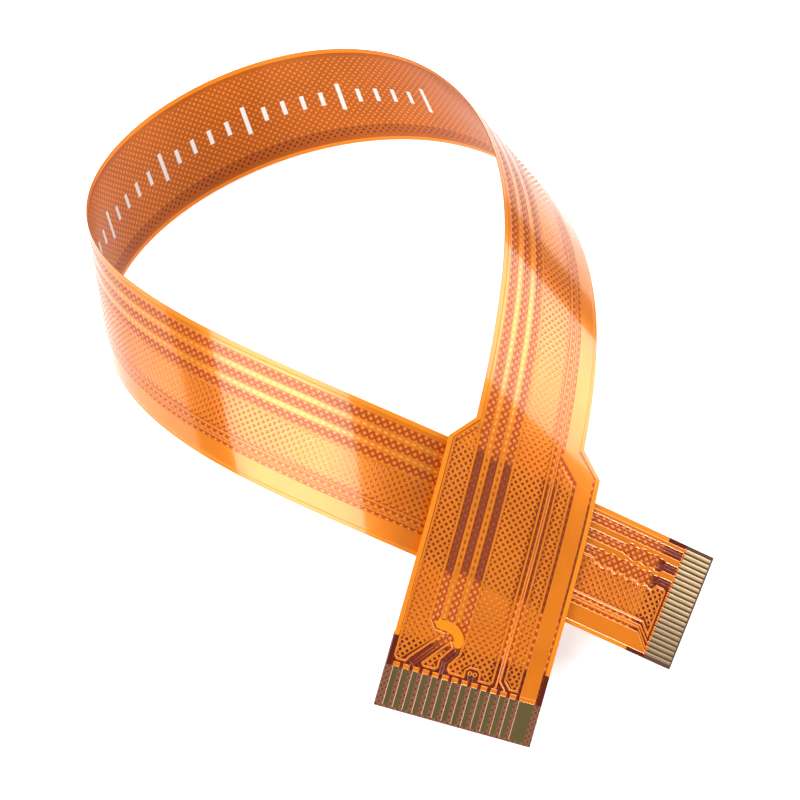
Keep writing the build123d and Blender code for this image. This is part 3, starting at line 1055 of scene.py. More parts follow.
class Number:
    """A number in a material's nodes, with arithmetic."""

    def __init__(self, tree: bpy.types.NodeTree, socket: bpy.types.NodeSocket) -> None:
        """Holds an output socket.

        Args:
            tree: The node tree.
            socket: The socket that gives the number.
        """
        self.tree, self.socket = tree, socket

    def _do(self, operation: str, *others: "Number | float") -> "Number":
        """Adds a sum of this number and others."""
        node = self.tree.nodes.new("ShaderNodeMath")
        node.operation = operation
        for socket, value in zip(node.inputs, (self, *others)):
            if isinstance(value, Number):
                self.tree.links.new(value.socket, socket)
            else:
                socket.default_value = value
        return Number(self.tree, node.outputs[0])

    def __add__(self, other: "Number | float") -> "Number":
        """The sum."""
        return self._do("ADD", other)

    def __sub__(self, other: "Number | float") -> "Number":
        """The difference."""
        return self._do("SUBTRACT", other)

    def __mul__(self, other: "Number | float") -> "Number":
        """The product."""
        return self._do("MULTIPLY", other)

    def __truediv__(self, other: "Number | float") -> "Number":
        """The quotient."""
        return self._do("DIVIDE", other)

    def larger(self, other: "Number | float") -> "Number":
        """The larger of two numbers."""
        return self._do("MAXIMUM", other)

    def smaller(self, other: "Number | float") -> "Number":
        """The smaller of two numbers."""
        return self._do("MINIMUM", other)

    def from_middle(self) -> "Number":
        """Distance of the number's fraction from one half, as a share of one half."""
        return ((self._do("FRACT") - 0.5)._do("ABSOLUTE")) * 2.0

    def size(self) -> "Number":
        """The number without its sign."""
        return self._do("ABSOLUTE")

    def rise(self, low: float, high: float) -> "Number":
        """Goes smoothly from 0 to 1 as the number goes from low to high."""
        node = self.tree.nodes.new("ShaderNodeMapRange")
        node.interpolation_type = "SMOOTHSTEP"
        node.inputs["From Min"].default_value = low
        node.inputs["From Max"].default_value = high
        self.tree.links.new(self.socket, node.inputs["Value"])
        return Number(self.tree, node.outputs[0])

    def inverse(self) -> "Number":
        """One less the number."""
        return (self * -1.0) + 1.0


@dataclass(frozen=True)
class Finish:
    """Plain finish of a surface."""

    colour: Colour
    roughness: float = 0.3
    metallic: float = 0.0
    coat: float = 0.0
    coat_roughness: float = 0.08
    specular: float = 0.5


class Painter:
    """Builds one material from a finish, with what varies over its surface."""

    def __init__(self, name: str, finish: Finish) -> None:
        """Makes the material.

        Args:
            name: Name of the material.
            finish: Its constant values.
        """
        self.material = bpy.data.materials.new(name)
        self.material.use_nodes = True
        self.tree = self.material.node_tree
        self.shader = next(n for n in self.tree.nodes if n.type == "BSDF_PRINCIPLED")
        self.finish = finish
        self.shader.inputs["Base Color"].default_value = (*finish.colour, 1.0)
        self.shader.inputs["Roughness"].default_value = finish.roughness
        self.shader.inputs["Metallic"].default_value = finish.metallic
        self.shader.inputs["Coat Weight"].default_value = finish.coat
        self.shader.inputs["Coat Roughness"].default_value = finish.coat_roughness
        self.shader.inputs["Specular IOR Level"].default_value = finish.specular

    def flat(self) -> tuple[Number, Number]:
        """Distance along and place across, in millimetres."""
        node = self.tree.nodes.new("ShaderNodeUVMap")
        node.uv_map = FLAT_MAP
        parts = self.tree.nodes.new("ShaderNodeSeparateXYZ")
        self.tree.links.new(node.outputs[0], parts.inputs[0])
        return Number(self.tree, parts.outputs[0]), Number(self.tree, parts.outputs[1])

    def attribute(self, name: str) -> Number:
        """A number stored on the mesh."""
        node = self.tree.nodes.new("ShaderNodeAttribute")
        node.attribute_name = name
        return Number(self.tree, node.outputs["Fac"])

    def noise(self, scale: float) -> Number:
        """Soft noise in object coordinates."""
        place = self.tree.nodes.new("ShaderNodeTexCoord")
        node = self.tree.nodes.new("ShaderNodeTexNoise")
        node.inputs["Scale"].default_value = scale
        self.tree.links.new(place.outputs["Object"], node.inputs["Vector"])
        return Number(self.tree, node.outputs[0])

    def mix(self, share: Number, first: object, second: object) -> bpy.types.NodeSocket:
        """Mixes two colours.

        Args:
            share: Share of the second colour.
            first: Colour or socket.
            second: Colour or socket.

        Returns:
            The mixed colour's socket.
        """
        node = self.tree.nodes.new("ShaderNodeMix")
        node.data_type = "RGBA"
        self.tree.links.new(share.socket, node.inputs[0])
        for socket, value in ((node.inputs[6], first), (node.inputs[7], second)):
            if isinstance(value, bpy.types.NodeSocket):
                self.tree.links.new(value, socket)
            else:
                socket.default_value = (*value, 1.0)
        return node.outputs[2]

    def colour(self, socket: bpy.types.NodeSocket) -> "Painter":
        """Sets the varying base colour."""
        self.tree.links.new(socket, self.shader.inputs["Base Color"])
        return self

    def bump(self, height: Number, strength: float, distance: float) -> "Painter":
        """Adds fine relief.

        Args:
            height: Height of the relief.
            strength: Its strength.
            distance: Its depth in metres.

        Returns:
            This painter.
        """
        node = self.tree.nodes.new("ShaderNodeBump")
        node.inputs["Strength"].default_value = strength
        node.inputs["Distance"].default_value = distance
        self.tree.links.new(height.socket, node.inputs["Height"])
        self.tree.links.new(node.outputs[0], self.shader.inputs["Normal"])
        return self


@dataclass(frozen=True)
class Lattice:
    """Square openings between lines at 45 degrees both ways, drawn in the flat map.

    The pitch is the distance between the lines, the opening its open share, and the shift moves
    the pattern along the cable.
    """

    pitch: float
    opening: float
    shift: float
    blur: float = 0.18

    def mask(self, along: Number, across: Number) -> Number:
        """Draws the openings.

        Args:
            along: Distance along the cable.
            across: Place across it.

        Returns:
            One in the openings, zero on the lines.
        """
        step = self.pitch * math.sqrt(2)
        first = ((along + across + self.shift) / step).from_middle()
        second = ((along - across + self.shift) / step).from_middle()
        low, high = self.opening - self.blur, self.opening + self.blur
        return first.larger(second).rise(low, high).inverse()


@dataclass(frozen=True)
class Patterns:
    """Patterns that are drawn in the film, in millimetres, the grain of the surfaces, and the painted
    highlight, painted light and painted shade of the contacts.
    """

    seen_through: Lattice = Lattice(0.52, 0.66, 0.21)
    bright_spots: Lattice = Lattice(0.52, 0.24, 0.21)
    back_spots: Lattice = Lattice(0.5, 0.5, 0.36)
    tip_squares: Lattice = Lattice(0.40, 0.45, 0.1)
    slot_pitch: float = 0.72
    slot_length: tuple[float, float] = (0.42, 0.62)
    slot_width: tuple[float, float] = (0.06, 0.12)
    slot_stop: float = 14.0
    # Width of the painted highlight line on the wide fingers.
    finger_glint_band: tuple[float, float] = (0.06, 0.10)
    over_stiffener: tuple[float, float] = (0.86, 0.98)
    narrow_half: tuple[float, float] = (99.0, 101.0)
    # Painted light across the narrow contacts, from painted shade to pale.
    gold_light_fade: tuple[float, float] = (-6.0, 3.0)
    gold_shade: float = 0.55
    tip_shade: float = 0.25
    tip_share: float = 0.8
    cloud_scale: float = 220.0
    cloud_edge: tuple[float, float] = (0.35, 0.65)
    cloud_shade: float = 0.90
    film_grain: tuple[float, float] = (900.0, 0.06)
    gold_grain: tuple[float, float] = (2500.0, 0.10)
    grain_depth: float = 0.0001
    margin_blur: float = 0.04
    back_blur: float = 0.1
    finger_blur: float = 0.01


@dataclass(frozen=True)
class Palette:
    """Finishes of the cable."""

    copper: Finish = Finish((0.84, 0.215, 0.003), 0.26, 0.35, coat=0.9, coat_roughness=0.07, specular=0.35)
    bridge: Finish = Finish((0.92, 0.290, 0.008), 0.30, 0.3, coat=0.4, specular=0.3)
    film: Finish = Finish((0.46, 0.10, 0.008), 0.26, 0.2, coat=0.75, coat_roughness=0.07, specular=0.2)
    back: Finish = Finish((0.49, 0.108, 0.005), 0.34, 0.35, coat=0.2, coat_roughness=0.22, specular=0.15)
    # Dark olive that stands in for the gold's dark reflection at the wide tip: painted reflection with random
    # mottling.
    gold: Finish = Finish((0.16, 0.115, 0.038), 0.30, metallic=0.5)
    tip: Finish = Finish((0.20, 0.065, 0.028), roughness=0.45)
    stiffener: Finish = Finish((0.050, 0.020, 0.010), roughness=0.5)
    print_white: Finish = Finish((0.86, 0.84, 0.82), roughness=0.6)
    floor: Finish = Finish((0.93, 0.93, 0.93), roughness=0.9, specular=0.0)
    floor_glow: float = 0.6
    light_dot: Colour = (0.92, 0.34, 0.07)
    light_opening: Colour = (0.68, 0.165, 0.006)
    back_line: Colour = (0.38, 0.052, 0.003)
    # Dark of a stiffener seen through the film, also used as painted shade where the other tail lies behind.
    dark_and_shaded_opening: Colour = (0.105, 0.010, 0.001)
    dark_and_shaded_line: Colour = (0.20, 0.020, 0.002)
    margin: Colour = (0.86, 0.25, 0.010)
    # Narrow contacts painted pale, as painted light.
    pale_lit_gold: Colour = (0.62, 0.45, 0.235)
    # Painted highlight along one edge of each wide finger.
    finger_glint: Colour = (0.62, 0.36, 0.24)
    back_opening: Colour = (0.43, 0.095, 0.006)
    back_spot: Colour = (0.76, 0.24, 0.035)
    back_solid: Colour = (0.17, 0.035, 0.006)
    black: Colour = (0.0, 0.0, 0.0)
    white: Colour = (1.0, 1.0, 1.0)


class Materials:
    """The materials of the cable."""

    def __init__(self, palette: Palette, layout: Layout) -> None:
        """Builds every material.

        Args:
            palette: The finishes.
            layout: Sizes that the patterns follow.
        """
        self.palette, self.layout, self.patterns = palette, layout, Patterns()
        self.copper = self._copper("film_over_copper", palette.copper)
        self.strip = self._slotted("film_over_slotted_copper", palette.copper)
        self.bridge = self._copper("film_over_bridge", palette.bridge)
        self.film = self._film()
        self.back = self._back()
        self.back_copper = self._copper("film_over_back_copper", palette.back)
        self.gold = self._gold()
        self.tip = self._tip()
        self.stiffener = Painter("dark_stiffener", palette.stiffener).material
        self.white = Painter("white_print", palette.print_white).material
        self.floor = self._floor()

    def _floor(self) -> bpy.types.Material:
        """Floor that glows only for the rays that show it, so that it adds no light."""
        painter = Painter("pale_floor", self.palette.floor)
        rays = painter.tree.nodes.new("ShaderNodeLightPath")
        seen = Number(painter.tree, rays.outputs["Is Camera Ray"])
        for kind in ("Is Glossy Ray", "Is Transmission Ray"):
            seen = seen.larger(Number(painter.tree, rays.outputs[kind]))
        glow = painter.mix(seen, self.palette.black, self.palette.white)
        painter.tree.links.new(glow, painter.shader.inputs["Emission Color"])
        painter.shader.inputs["Emission Strength"].default_value = self.palette.floor_glow
        return painter.material

    def _shades(self, painter: Painter, colour: Colour) -> bpy.types.NodeSocket:
        """A colour with slight differences over the surface."""
        patterns = self.patterns
        soft = tuple(c * patterns.cloud_shade for c in colour)
        return painter.mix(painter.noise(patterns.cloud_scale).rise(*patterns.cloud_edge), colour, soft)

    def _copper(self, name: str, finish: Finish) -> bpy.types.Material:
        """Film over solid copper, with the copper's fine grain."""
        painter = Painter(name, finish)
        painter.colour(self._shades(painter, finish.colour))
        scale, strength = self.patterns.film_grain
        painter.bump(painter.noise(scale), strength, self.patterns.grain_depth)
        return painter.material

    def _slotted(self, name: str, finish: Finish) -> bpy.types.Material:
        """Film over a ground strip, with a row of short slots along its middle, darkened with painted shade
        where the other tail lies behind.
        """
        painter, patterns = Painter(name, finish), self.patterns
        along, across = painter.flat()
        slots = (along / patterns.slot_pitch).from_middle().rise(*patterns.slot_length).inverse()
        lines = self.layout.pair_lines
        rows = None
        for first, second in zip(lines, lines[1:]):
            row = (across - (first + second) / 2).size().rise(*patterns.slot_width).inverse()
            rows = row if rows is None else rows.larger(row)
        stiffener_and_shade = painter.attribute(STIFFENER_AND_SHADE)
        # Slot holes: light where nothing lies behind, painted shade where the other tail lies behind.
        hole = painter.mix(stiffener_and_shade, self.palette.light_dot, self.palette.dark_and_shaded_opening)
        end = (along - (self.layout.root_end - patterns.slot_stop)).rise(0.0, 0.5).inverse()
        painter.colour(painter.mix(slots * rows * end, self._shades(painter, finish.colour), hole))
        return painter.material

    def _film(self) -> bpy.types.Material:
        """Film between the front copper, with the hatch of the back seen through it, darkened with painted
        shade where the other tail lies behind and dark over the stiffeners.
        """
        painter = Painter("film_over_base", self.palette.film)
        along, across = painter.flat()
        stiffener_and_shade = painter.attribute(STIFFENER_AND_SHADE)
        openings = self.patterns.seen_through.mask(along, across)
        dots = self.patterns.bright_spots.mask(along, across)
        # Lines and openings turn to painted shade where the other tail lies behind, and dark over the
        # stiffeners.
        line = painter.mix(stiffener_and_shade, self.palette.back_line, self.palette.dark_and_shaded_line)
        light = painter.mix(dots, self.palette.light_opening, self.palette.light_dot)
        hole = painter.mix(stiffener_and_shade, light, self.palette.dark_and_shaded_opening)
        inner = painter.mix(openings, line, hole)
        over_stiffener = stiffener_and_shade.rise(*self.patterns.over_stiffener)
        margin = painter.mix(over_stiffener, self.palette.margin, self.palette.dark_and_shaded_opening)
        painter.colour(painter.mix(self._margin(along, across), inner, margin))
        return painter.material

    def _margin(self, along: Number, across: Number) -> Number:
        """Mask of the margins, where neither face has copper."""
        layout = self.layout
        share = ((along - layout.wide_length) / layout.shoulder_run).larger(0.0).smaller(1.0)
        edge = share * (layout.half_body - layout.half_wide) + layout.half_wide
        blur = self.patterns.margin_blur
        return (across.size() - edge + layout.edge_margin).rise(-blur, blur)

    def _back(self) -> bpy.types.Material:
        """Film over the base of the back, darker where the power strip lies in front."""
        painter, blur = Painter("film_over_back", self.palette.back), self.patterns.back_blur
        along, across = painter.flat()
        solid = (across - self.layout.power_in).rise(-blur, blur).inverse()
        dots = self.patterns.back_spots.mask(along, across)
        light = painter.mix(dots, self.palette.back_opening, self.palette.back_spot)
        dark = painter.mix(solid, light, self.palette.back_solid)
        painter.colour(painter.mix(self._margin(along, across), dark, self.palette.margin))
        return painter.material

    def _gold(self) -> bpy.types.Material:
        """Gold of the contacts: a dark olive painted reflection with a painted highlight line along one edge
        of each finger at the wide tip, and pale painted light that fades to painted shade across the narrow
        tip.
        """
        painter, patterns = Painter("gold_contacts", self.palette.gold), self.patterns
        along, across = painter.flat()
        # Narrow tip: pale painted light fading to painted shade across it; wide tip: dark olive painted
        # reflection.
        narrow = along.rise(*patterns.narrow_half)
        fade = across.rise(*patterns.gold_light_fade)
        shaded_gold = tuple(c * patterns.gold_shade for c in self.palette.pale_lit_gold)
        pale = painter.mix(fade, shaded_gold, self.palette.pale_lit_gold)
        mottled_dark_reflection = self._shades(painter, self.palette.gold.colour)
        # Painted highlight: a thin pale line along the first edge of each single wide finger.
        edge = across - (self.layout.wide_finger / 2 - self.layout.glint_inset)
        line = (edge / self.layout.wide_pitch + 0.5).from_middle().rise(*patterns.finger_glint_band).inverse()
        blur = patterns.finger_blur
        single = (across - self.layout.double_start).rise(-blur, blur)
        wide = painter.mix(line * single, mottled_dark_reflection, self.palette.finger_glint)
        painter.colour(painter.mix(narrow, wide, pale))
        scale, strength = patterns.gold_grain
        painter.bump(painter.noise(scale), strength, patterns.grain_depth)
        return painter.material

    def _tip(self) -> bpy.types.Material:
        """Bare base film of the tips: spotted between the wide contacts, dark between the narrow."""
        painter, patterns = Painter("bare_base_film", self.palette.tip), self.patterns
        along, across = painter.flat()
        narrow = along.rise(*patterns.narrow_half)
        squares = patterns.tip_squares.mask(along, across)
        spots = (squares * narrow.inverse()).larger(narrow * patterns.tip_share)
        dark = tuple(c * patterns.tip_shade for c in self.palette.tip.colour)
        painter.colour(painter.mix(spots, self.palette.tip.colour, dark))
        return painter.material


# ---------------------------------------------------------------- sub-assemblies


@dataclass
class SubAssembly:
    """A part of the cable that builds and dresses its own pieces."""

    ribbon: Ribbon
    layers: Layers
    layout: Layout
    materials: Materials
    built: list[bpy.types.Object] = field(default_factory=list)

    def show(self, piece: bpy.types.Object, slot: Slot, *nodes: str) -> bpy.types.Object:
        """Ties a piece to the frame.

        Args:
            piece: The piece.
            slot: Its material slot; not used.
            nodes: Nodes of the frame that it stands for.

        Returns:
            The piece.
        """
        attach(piece, ROOT_BODY)
        if nodes:
            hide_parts(*nodes)
        self.built.append(piece)
        LOG.info("%s: %d faces", piece.name, len(piece.data.polygons))
        return piece

    def flat(self) -> FlatMesh:
        """A new flat mesh."""
        return FlatMesh(self.ribbon)


@dataclass
class Films(SubAssembly):
    """Base film, cover films and stiffeners."""

    def build(self) -> list[bpy.types.Object]:
        """Builds the plates of the laminate.

        Returns:
            The pieces.
        """
        layers, layout = self.layers, self.layout
        whole = layout.cable(0.0, layout.length)
        covered = layout.cable(layout.wide_bare, layout.cover_end)
        base = self.flat().slab(whole, -layers.film, layers.film).cut()
        base_skin = self.show(base.finish("base_film_skin", self.materials.tip), Slot.FILM, "base_film")
        size, area = (layout.width * MM, layout.length * MM), layout.area * MM * MM
        front = self.flat().slab(covered, layers.film, layers.floor).cut(across=True)
        self.show(front.finish("front_film_skin", self.materials.film), Slot.FILM, "front_cover_film")
        back = self.flat().slab(whole, -layers.floor, -layers.film).cut()
        self.show(back.finish("back_film_skin", self.materials.back), Slot.FILM, "back_cover_film")
        ends = {
            "wide_stiffener": (0.0, layout.wide_stiffener, layout.half_wide),
            "narrow_stiffener": (layout.narrow_support, layout.length, layout.half_body),
        }
        for node, (start, end, half) in ends.items():
            outline = band([(start, 0.0), (end, 0.0)], -half, half)
            plate = self.flat().slab(outline, layers.back, -layers.cover)
            self.show(plate.finish(f"{node}_plate", self.materials.stiffener), Slot.STIFFENER, node)
        return self.built


@dataclass
class Copper(SubAssembly):
    """Film-covered copper of the front: hatched grounds, strips and tracks."""

    hatch: Hatch = field(default_factory=Hatch)
    slope: float = 0.05
    track_slope: float = 0.04
    bridge_slope: float = 0.12
    border: float = 0.15
    cell_drop: float = 0.001
    ring_corners: int = 12
    ring_rise: float = 0.004
    ring_slope: float = 0.03
    ring_width: float = 0.10

    def build(self) -> list[bpy.types.Object]:
        """Builds the copper of the front.

        Returns:
            The pieces.
        """
        layers, layout, materials = self.layers, self.layout, self.materials
        low, high = layers.floor, layers.cover
        maker = HatchMaker(materials.copper)
        self.hatched(maker, "edge_ground", layout.edge_hatch(), extra=layout.edge_strip())
        self.hatched(maker, "middle_ground", layout.middle_ground())
        self.hatched(maker, "fan_ground", layout.fan_ground())
        self.hatched(maker, "side_ground", layout.side_ground())
        for i in range(len(layout.pair_lines) - 1):
            node = f"ground_strip_{i + 1}"
            strip = self.flat().hill(layout.ground_strip(i), low, high, self.slope).cut()
            self.show(strip.finish(f"{node}_skin", materials.strip), Slot.COPPER, node)
        power = self.flat().hill(layout.power(), low, high, self.slope).cut(across=True)
        self.show(power.finish("power_strip_skin", materials.copper), Slot.COPPER, "power_strip")
        bridge = self.flat().hill(softened(layout.bridge()), low, high, self.bridge_slope).cut()
        self.show(bridge.finish("bridge_patch_skin", materials.bridge), Slot.COPPER, "bridge_patch")
        self.show(self.vias(), Slot.COPPER)
        for node, outlines in {**layout.pairs(), **{k: [v] for k, v in layout.signals().items()}}.items():
            track = self.flat()
            for outline in outlines:
                track.hill(outline, low, high, self.track_slope)
            face = materials.copper if node.startswith("signal") else materials.film
            self.show(track.cut().finish(f"{node}_skin", face), Slot.COPPER, node)
        return self.built

    def vias(self) -> bpy.types.Object:
        """Builds the raised rings of the plated holes.

        Returns:
            The rings as one piece.
        """
        layout, rings = self.layout, self.flat()
        middle = layout.wide_place(sum(layout.via_places) / 2)
        low, high = self.layers.floor, self.layers.cover + self.ring_rise
        for side in (1, -1):
            centre = (layout.wide_root + layout.via_reach, middle + side * layout.via_spacing / 2)
            circle = ring_of(centre, layout.via_radius, self.ring_corners)
            rings.rim(circle, low, high, self.ring_slope, self.ring_width)
        return rings.finish("via_rings", self.materials.bridge)

    def hatched(
        self, maker: HatchMaker, node: str, outline: list[Point], extra: list[Point] | None = None
    ) -> None:
        """Builds one hatched area: its border and the cells inside it.

        Args:
            maker: Maker of the cells.
            node: Node of the frame it stands for.
            outline: Outline of the area.
            extra: Outline of a solid strip that belongs to it.
        """
        low, high = self.layers.floor, self.layers.cover
        rim = self.flat().rim(outline, low, high, self.slope, self.border)
        if extra is not None:
            rim.hill(extra, low, high, self.slope)
        rim.cut()
        rim.add(maker.bake(self.hatch, self.hatch.centres(outline), high - self.cell_drop))
        self.show(rim.finish(f"{node}_skin", self.materials.copper), Slot.COPPER, node)


@dataclass
class BackCopper(SubAssembly):
    """Film-covered hatch of the back, and the white graduation printed over it."""

    hatch: Hatch = field(default_factory=lambda: Hatch(opening=0.6))
    slope: float = 0.07
    border: float = 0.35
    cell_drop: float = 0.001
    tick_range: tuple[int, int, int] = (76, 152, 2)
    tick_width: float = 0.45
    tick_reach: float = 0.8
    long_tick_reach: float = 1.6
    ticks_to_long: int = 5
    ink_heights: tuple[float, float] = (-0.004, 0.002)

    def build(self) -> list[bpy.types.Object]:
        """Builds the back hatch and the printed ticks.

        Returns:
            The pieces.
        """
        layers, layout, materials = self.layers, self.layout, self.materials
        outline = layout.cable(layout.wide_inset, layout.length - layout.narrow_inset, layout.edge_margin)
        maker = HatchMaker(materials.back_copper)
        back = self.flat()
        back.rim(outline, layers.floor, layers.cover, self.slope, self.border)
        for vert in back.mesh.verts:
            vert.co.z = -vert.co.z
        bmesh.ops.reverse_faces(back.mesh, faces=back.mesh.faces)
        height = layers.cover - self.cell_drop
        back.cut().add(maker.bake(self.hatch, self.hatch.centres(outline), height, back=True))
        self.show(back.finish("back_ground_skin", materials.back_copper), Slot.COPPER, "back_ground")
        ticks = self.flat()
        low, high = (ink - layers.cover for ink in self.ink_heights)
        for i, at in enumerate(range(*self.tick_range)):
            reach = self.tick_reach if i % self.ticks_to_long else self.long_tick_reach
            bar = band([(float(at), -reach), (float(at), reach)], -self.tick_width / 2, self.tick_width / 2)
            ticks.slab(bar, low, high)
        self.show(ticks.cut().finish("printed_ticks", materials.white), Slot.FILM)
        return self.built


@dataclass
class Contacts(SubAssembly):
    """Plated fingers of both tips, and the humps that their roots make under the cover film."""

    bevel: float = 0.05
    narrow_bevel: float = 0.12
    root_slope: float = 0.06

    def build(self) -> list[bpy.types.Object]:
        """Builds the fingers.

        Returns:
            The pieces.
        """
        layers, layout = self.layers, self.layout
        fingers = {
            **layout.wide_fingers(layout.wide_inset, layout.wide_bare),
            **layout.narrow_fingers(layout.cover_end, layout.length - layout.narrow_inset),
        }
        for node, outline in fingers.items():
            bevel = self.bevel if node.startswith("wide") else self.narrow_bevel
            outline = offset(counterclockwise(outline), -bevel / 2)
            finger = self.flat().hill(outline, layers.film, layers.foil, bevel)
            self.show(finger.finish(f"{node}_face", self.materials.gold), Slot.GOLD, node)
        humps = self.flat()
        roots = {
            **layout.wide_fingers(layout.wide_bare, layout.wide_root),
            **layout.narrow_fingers(layout.root_end, layout.cover_end),
        }
        for outline in roots.values():
            humps.hill(outline, layers.floor, layers.cover, self.root_slope)
        self.show(humps.finish("finger_roots", self.materials.copper), Slot.FILM)
        return self.built


class StiffenerAndShadeFinder:
    """Finds what lies behind the film, as seen through it: over a stiffener its own dark colour shows, and
    over the other tail the darkness is painted shade.
    """

    CLEAR = 0.35
    REACH = 9.0
    FACING = -0.45
    # Share of painted shade where the other tail lies behind the film.
    SHADE = 0.78

    def __init__(
        self, ribbon: Ribbon, layout: Layout, films: Sequence[bpy.types.Object], direction: Vector
    ) -> None:
        """Prepares the search.

        Args:
            ribbon: The ribbon that the pieces are wrapped on.
            layout: Sizes of the stiffeners.
            films: Pieces that can lie behind.
            direction: Direction in which the film is looked through.
        """
        self.ribbon, self.layout, self.direction = ribbon, layout, direction
        verts, faces = [], []
        for piece in films:
            start = len(verts)
            verts += [v.co.copy() for v in piece.data.vertices]
            faces += [[start + i for i in p.vertices] for p in piece.data.polygons]
        self.tree = BVHTree.FromPolygons(verts, faces)

    def mark(self, piece: bpy.types.Object) -> None:
        """Stores on a piece how dark each vertex is painted: one over a stiffener, the share of painted shade
        where the other tail lies behind.

        Args:
            piece: The piece.
        """
        mesh = piece.data
        flat = np.zeros((len(mesh.vertices), 3))
        for loop, chart in zip(mesh.loops, mesh.uv_layers[FLAT_MAP].data):
            flat[loop.vertex_index, :2] = chart.uv
        facing = self.ribbon.place(flat)[1][:, :, 2] @ np.array(self.direction)
        values = np.zeros(len(mesh.vertices))
        for i, vert in enumerate(mesh.vertices):
            if not self.layout.wide_stiffener <= flat[i, 0] <= self.layout.narrow_support:
                values[i] = 1.0
                continue
            if facing[i] > self.FACING:
                continue
            start = vert.co + self.direction * self.CLEAR * MM
            hit = self.tree.ray_cast(start, self.direction, self.REACH * MM)
            values[i] = self.SHADE if hit[0] is not None else 0.0
        store = mesh.attributes.new(STIFFENER_AND_SHADE, "FLOAT", "POINT")
        store.data.foreach_set("value", values)


@dataclass(frozen=True)
class View:
    """Camera of the photograph, in millimetres."""

    place: tuple[float, float, float] = (-13.845, -306.642, 464.966)
    ahead: tuple[float, float, float] = (0.0258, 0.5544, -0.8318)
    right: tuple[float, float, float] = (0.99952, 0.0, 0.0310)
    lens: float = 256.85
    sensor: float = 36.0
    clip: tuple[float, float] = (0.01, 20.0)

    def set_up(self) -> bpy.types.Object:
        """Adds the camera and makes it the scene's.

        Returns:
            The camera.
        """
        ahead, right = Vector(self.ahead).normalized(), Vector(self.right).normalized()
        up = right.cross(ahead)
        data = bpy.data.cameras.new("camera")
        data.lens = self.lens
        data.sensor_width = self.sensor
        data.clip_start, data.clip_end = self.clip
        camera = bpy.data.objects.new("camera", data)
        turn = Matrix((right, up, -ahead)).transposed().to_4x4()
        camera.matrix_world = Matrix.Translation(Vector(self.place) * MM) @ turn
        bpy.context.scene.collection.objects.link(camera)
        bpy.context.scene.camera = camera
        return camera


@dataclass(frozen=True)
class Lamp:
    """A soft light that mirrors in the film at one place of the cable.

    With a tilt, it mirrors in slopes that lean by that angle towards a bearing, which is counted
    from the direction along the cable.
    """

    name: str
    at: tuple[float, float]
    power: float
    size: float
    tilt: float = 0.0
    bearing: float = 90.0
    reach: float = 0.6


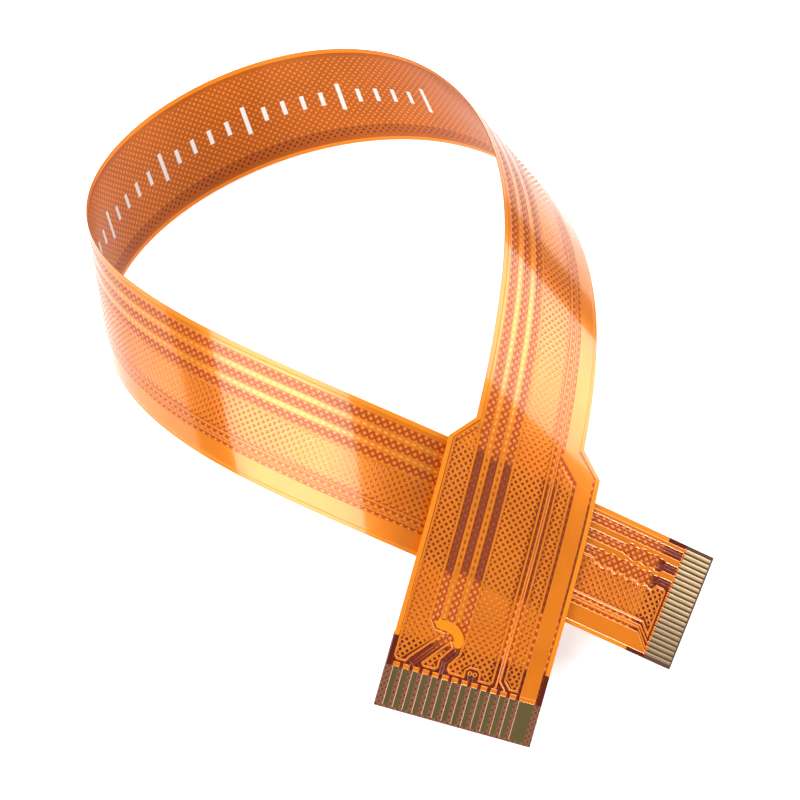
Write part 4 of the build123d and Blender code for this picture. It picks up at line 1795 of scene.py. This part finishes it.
@dataclass
class Studio:
    """Floor, surroundings and lights."""

    ribbon: Ribbon
    materials: Materials
    view: View
    lamps: tuple[Lamp, ...] = (
        Lamp("right_glare", (37.0, 0.0), 2.4, 0.40),
        Lamp("left_glare", (157.0, -1.0), 3.7, 0.46),
        Lamp("cross_glints", (20.0, -2.0), 0.40, 0.10, tilt=19.8, bearing=315.0),
        Lamp("narrow_glints", (191.0, 0.0), 0.25, 0.06, tilt=-19.8),
    )

    floor_size: float = 6.0
    floor_height: float = -0.0002
    ambient: float = 0.26
    sun_towards: tuple[float, float, float] = (-0.35, -0.25, 0.9)
    sun_strength: float = 0.46
    sun_angle: float = 0.35
    picture: int = 800

    def build(self) -> None:
        """Builds the stage."""
        self.view.set_up()
        bpy.ops.mesh.primitive_plane_add(size=self.floor_size, location=(0.0, 0.0, self.floor_height))
        floor = bpy.context.active_object
        floor.name = "floor"
        floor.data.materials.append(self.materials.floor)
        self._world()
        self._sun()
        for lamp in self.lamps:
            self._mirror(lamp)
        scene = bpy.context.scene
        scene.view_settings.view_transform = "Standard"
        scene.render.engine = "CYCLES"
        scene.render.resolution_x = scene.render.resolution_y = self.picture

    def _world(self) -> None:
        """Lights the scene evenly from all around."""
        world = bpy.data.worlds.new("surroundings")
        world.use_nodes = True
        tree = world.node_tree
        background = next(n for n in tree.nodes if n.type == "BACKGROUND")
        background.inputs["Strength"].default_value = self.ambient
        background.inputs["Color"].default_value = (1.0, 1.0, 1.0, 1.0)
        bpy.context.scene.world = world

    def _sun(self) -> None:
        """Adds a soft sun."""
        data = bpy.data.lights.new("key", "SUN")
        data.energy, data.angle = self.sun_strength, self.sun_angle
        lamp = bpy.data.objects.new("key", data)
        lamp.rotation_euler = Vector(self.sun_towards).to_track_quat("Z", "Y").to_euler()
        bpy.context.scene.collection.objects.link(lamp)

    def _mirror(self, lamp: Lamp) -> None:
        """Places a lamp where the camera sees it mirrored at its place of the cable."""
        spot, frame = self.ribbon.place(np.array([[*lamp.at, 0.0]]))
        tilt, bearing = math.radians(lamp.tilt), math.radians(lamp.bearing)
        place = Vector(spot[0]) * MM
        slope = frame[0, :, 0] * math.cos(bearing) + frame[0, :, 1] * math.sin(bearing)
        normal = Vector(frame[0, :, 2] * math.cos(tilt) + slope * math.sin(tilt))
        coming = (place - Vector(self.view.place) * MM).normalized()
        if coming.dot(normal) > 0:
            normal = -normal
        away = coming - 2 * coming.dot(normal) * normal
        data = bpy.data.lights.new(lamp.name, "AREA")
        data.energy, data.size = lamp.power, lamp.size
        light = bpy.data.objects.new(lamp.name, data)
        where = place + away * lamp.reach
        light.location = where
        light.rotation_euler = away.to_track_quat("Z", "Y").to_euler()
        bpy.context.scene.collection.objects.link(light)
        LOG.info("%s stands at %s", lamp.name, tuple(round(c, 3) for c in where))


class FlexCable:
    """The whole cable."""

    def __init__(self) -> None:
        """Prepares the ribbon, the layout and the materials."""
        self.layers, self.layout, self.view = Layers(), Layout(), View()
        self.materials = Materials(Palette(), self.layout)
        self.ribbon = Ribbon(BendPlan(), self.layers, "wide_stiffener", self.layout.wide_stiffener)

    def build(self) -> None:
        """Builds every sub-assembly, the shade behind the film, and the stage."""
        common = (self.ribbon, self.layers, self.layout, self.materials)
        films = Films(*common).build()
        copper = Copper(*common).build()
        BackCopper(*common).build()
        Contacts(*common).build()
        shade_finder = StiffenerAndShadeFinder(self.ribbon, self.layout, films, Vector(self.view.ahead).normalized())
        for piece in [films[1], *copper]:
            shade_finder.mark(piece)
        Studio(self.ribbon, self.materials, self.view).build()


def main() -> None:
    """Builds the looks and notes how many nodes the frame has."""
    logging.basicConfig(level=logging.INFO, format="%(message)s")
    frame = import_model()
    LOG.info("frame: %d nodes", len(frame["nodes"]))
    FlexCable().build()


if __name__ == "__main__":
    main()
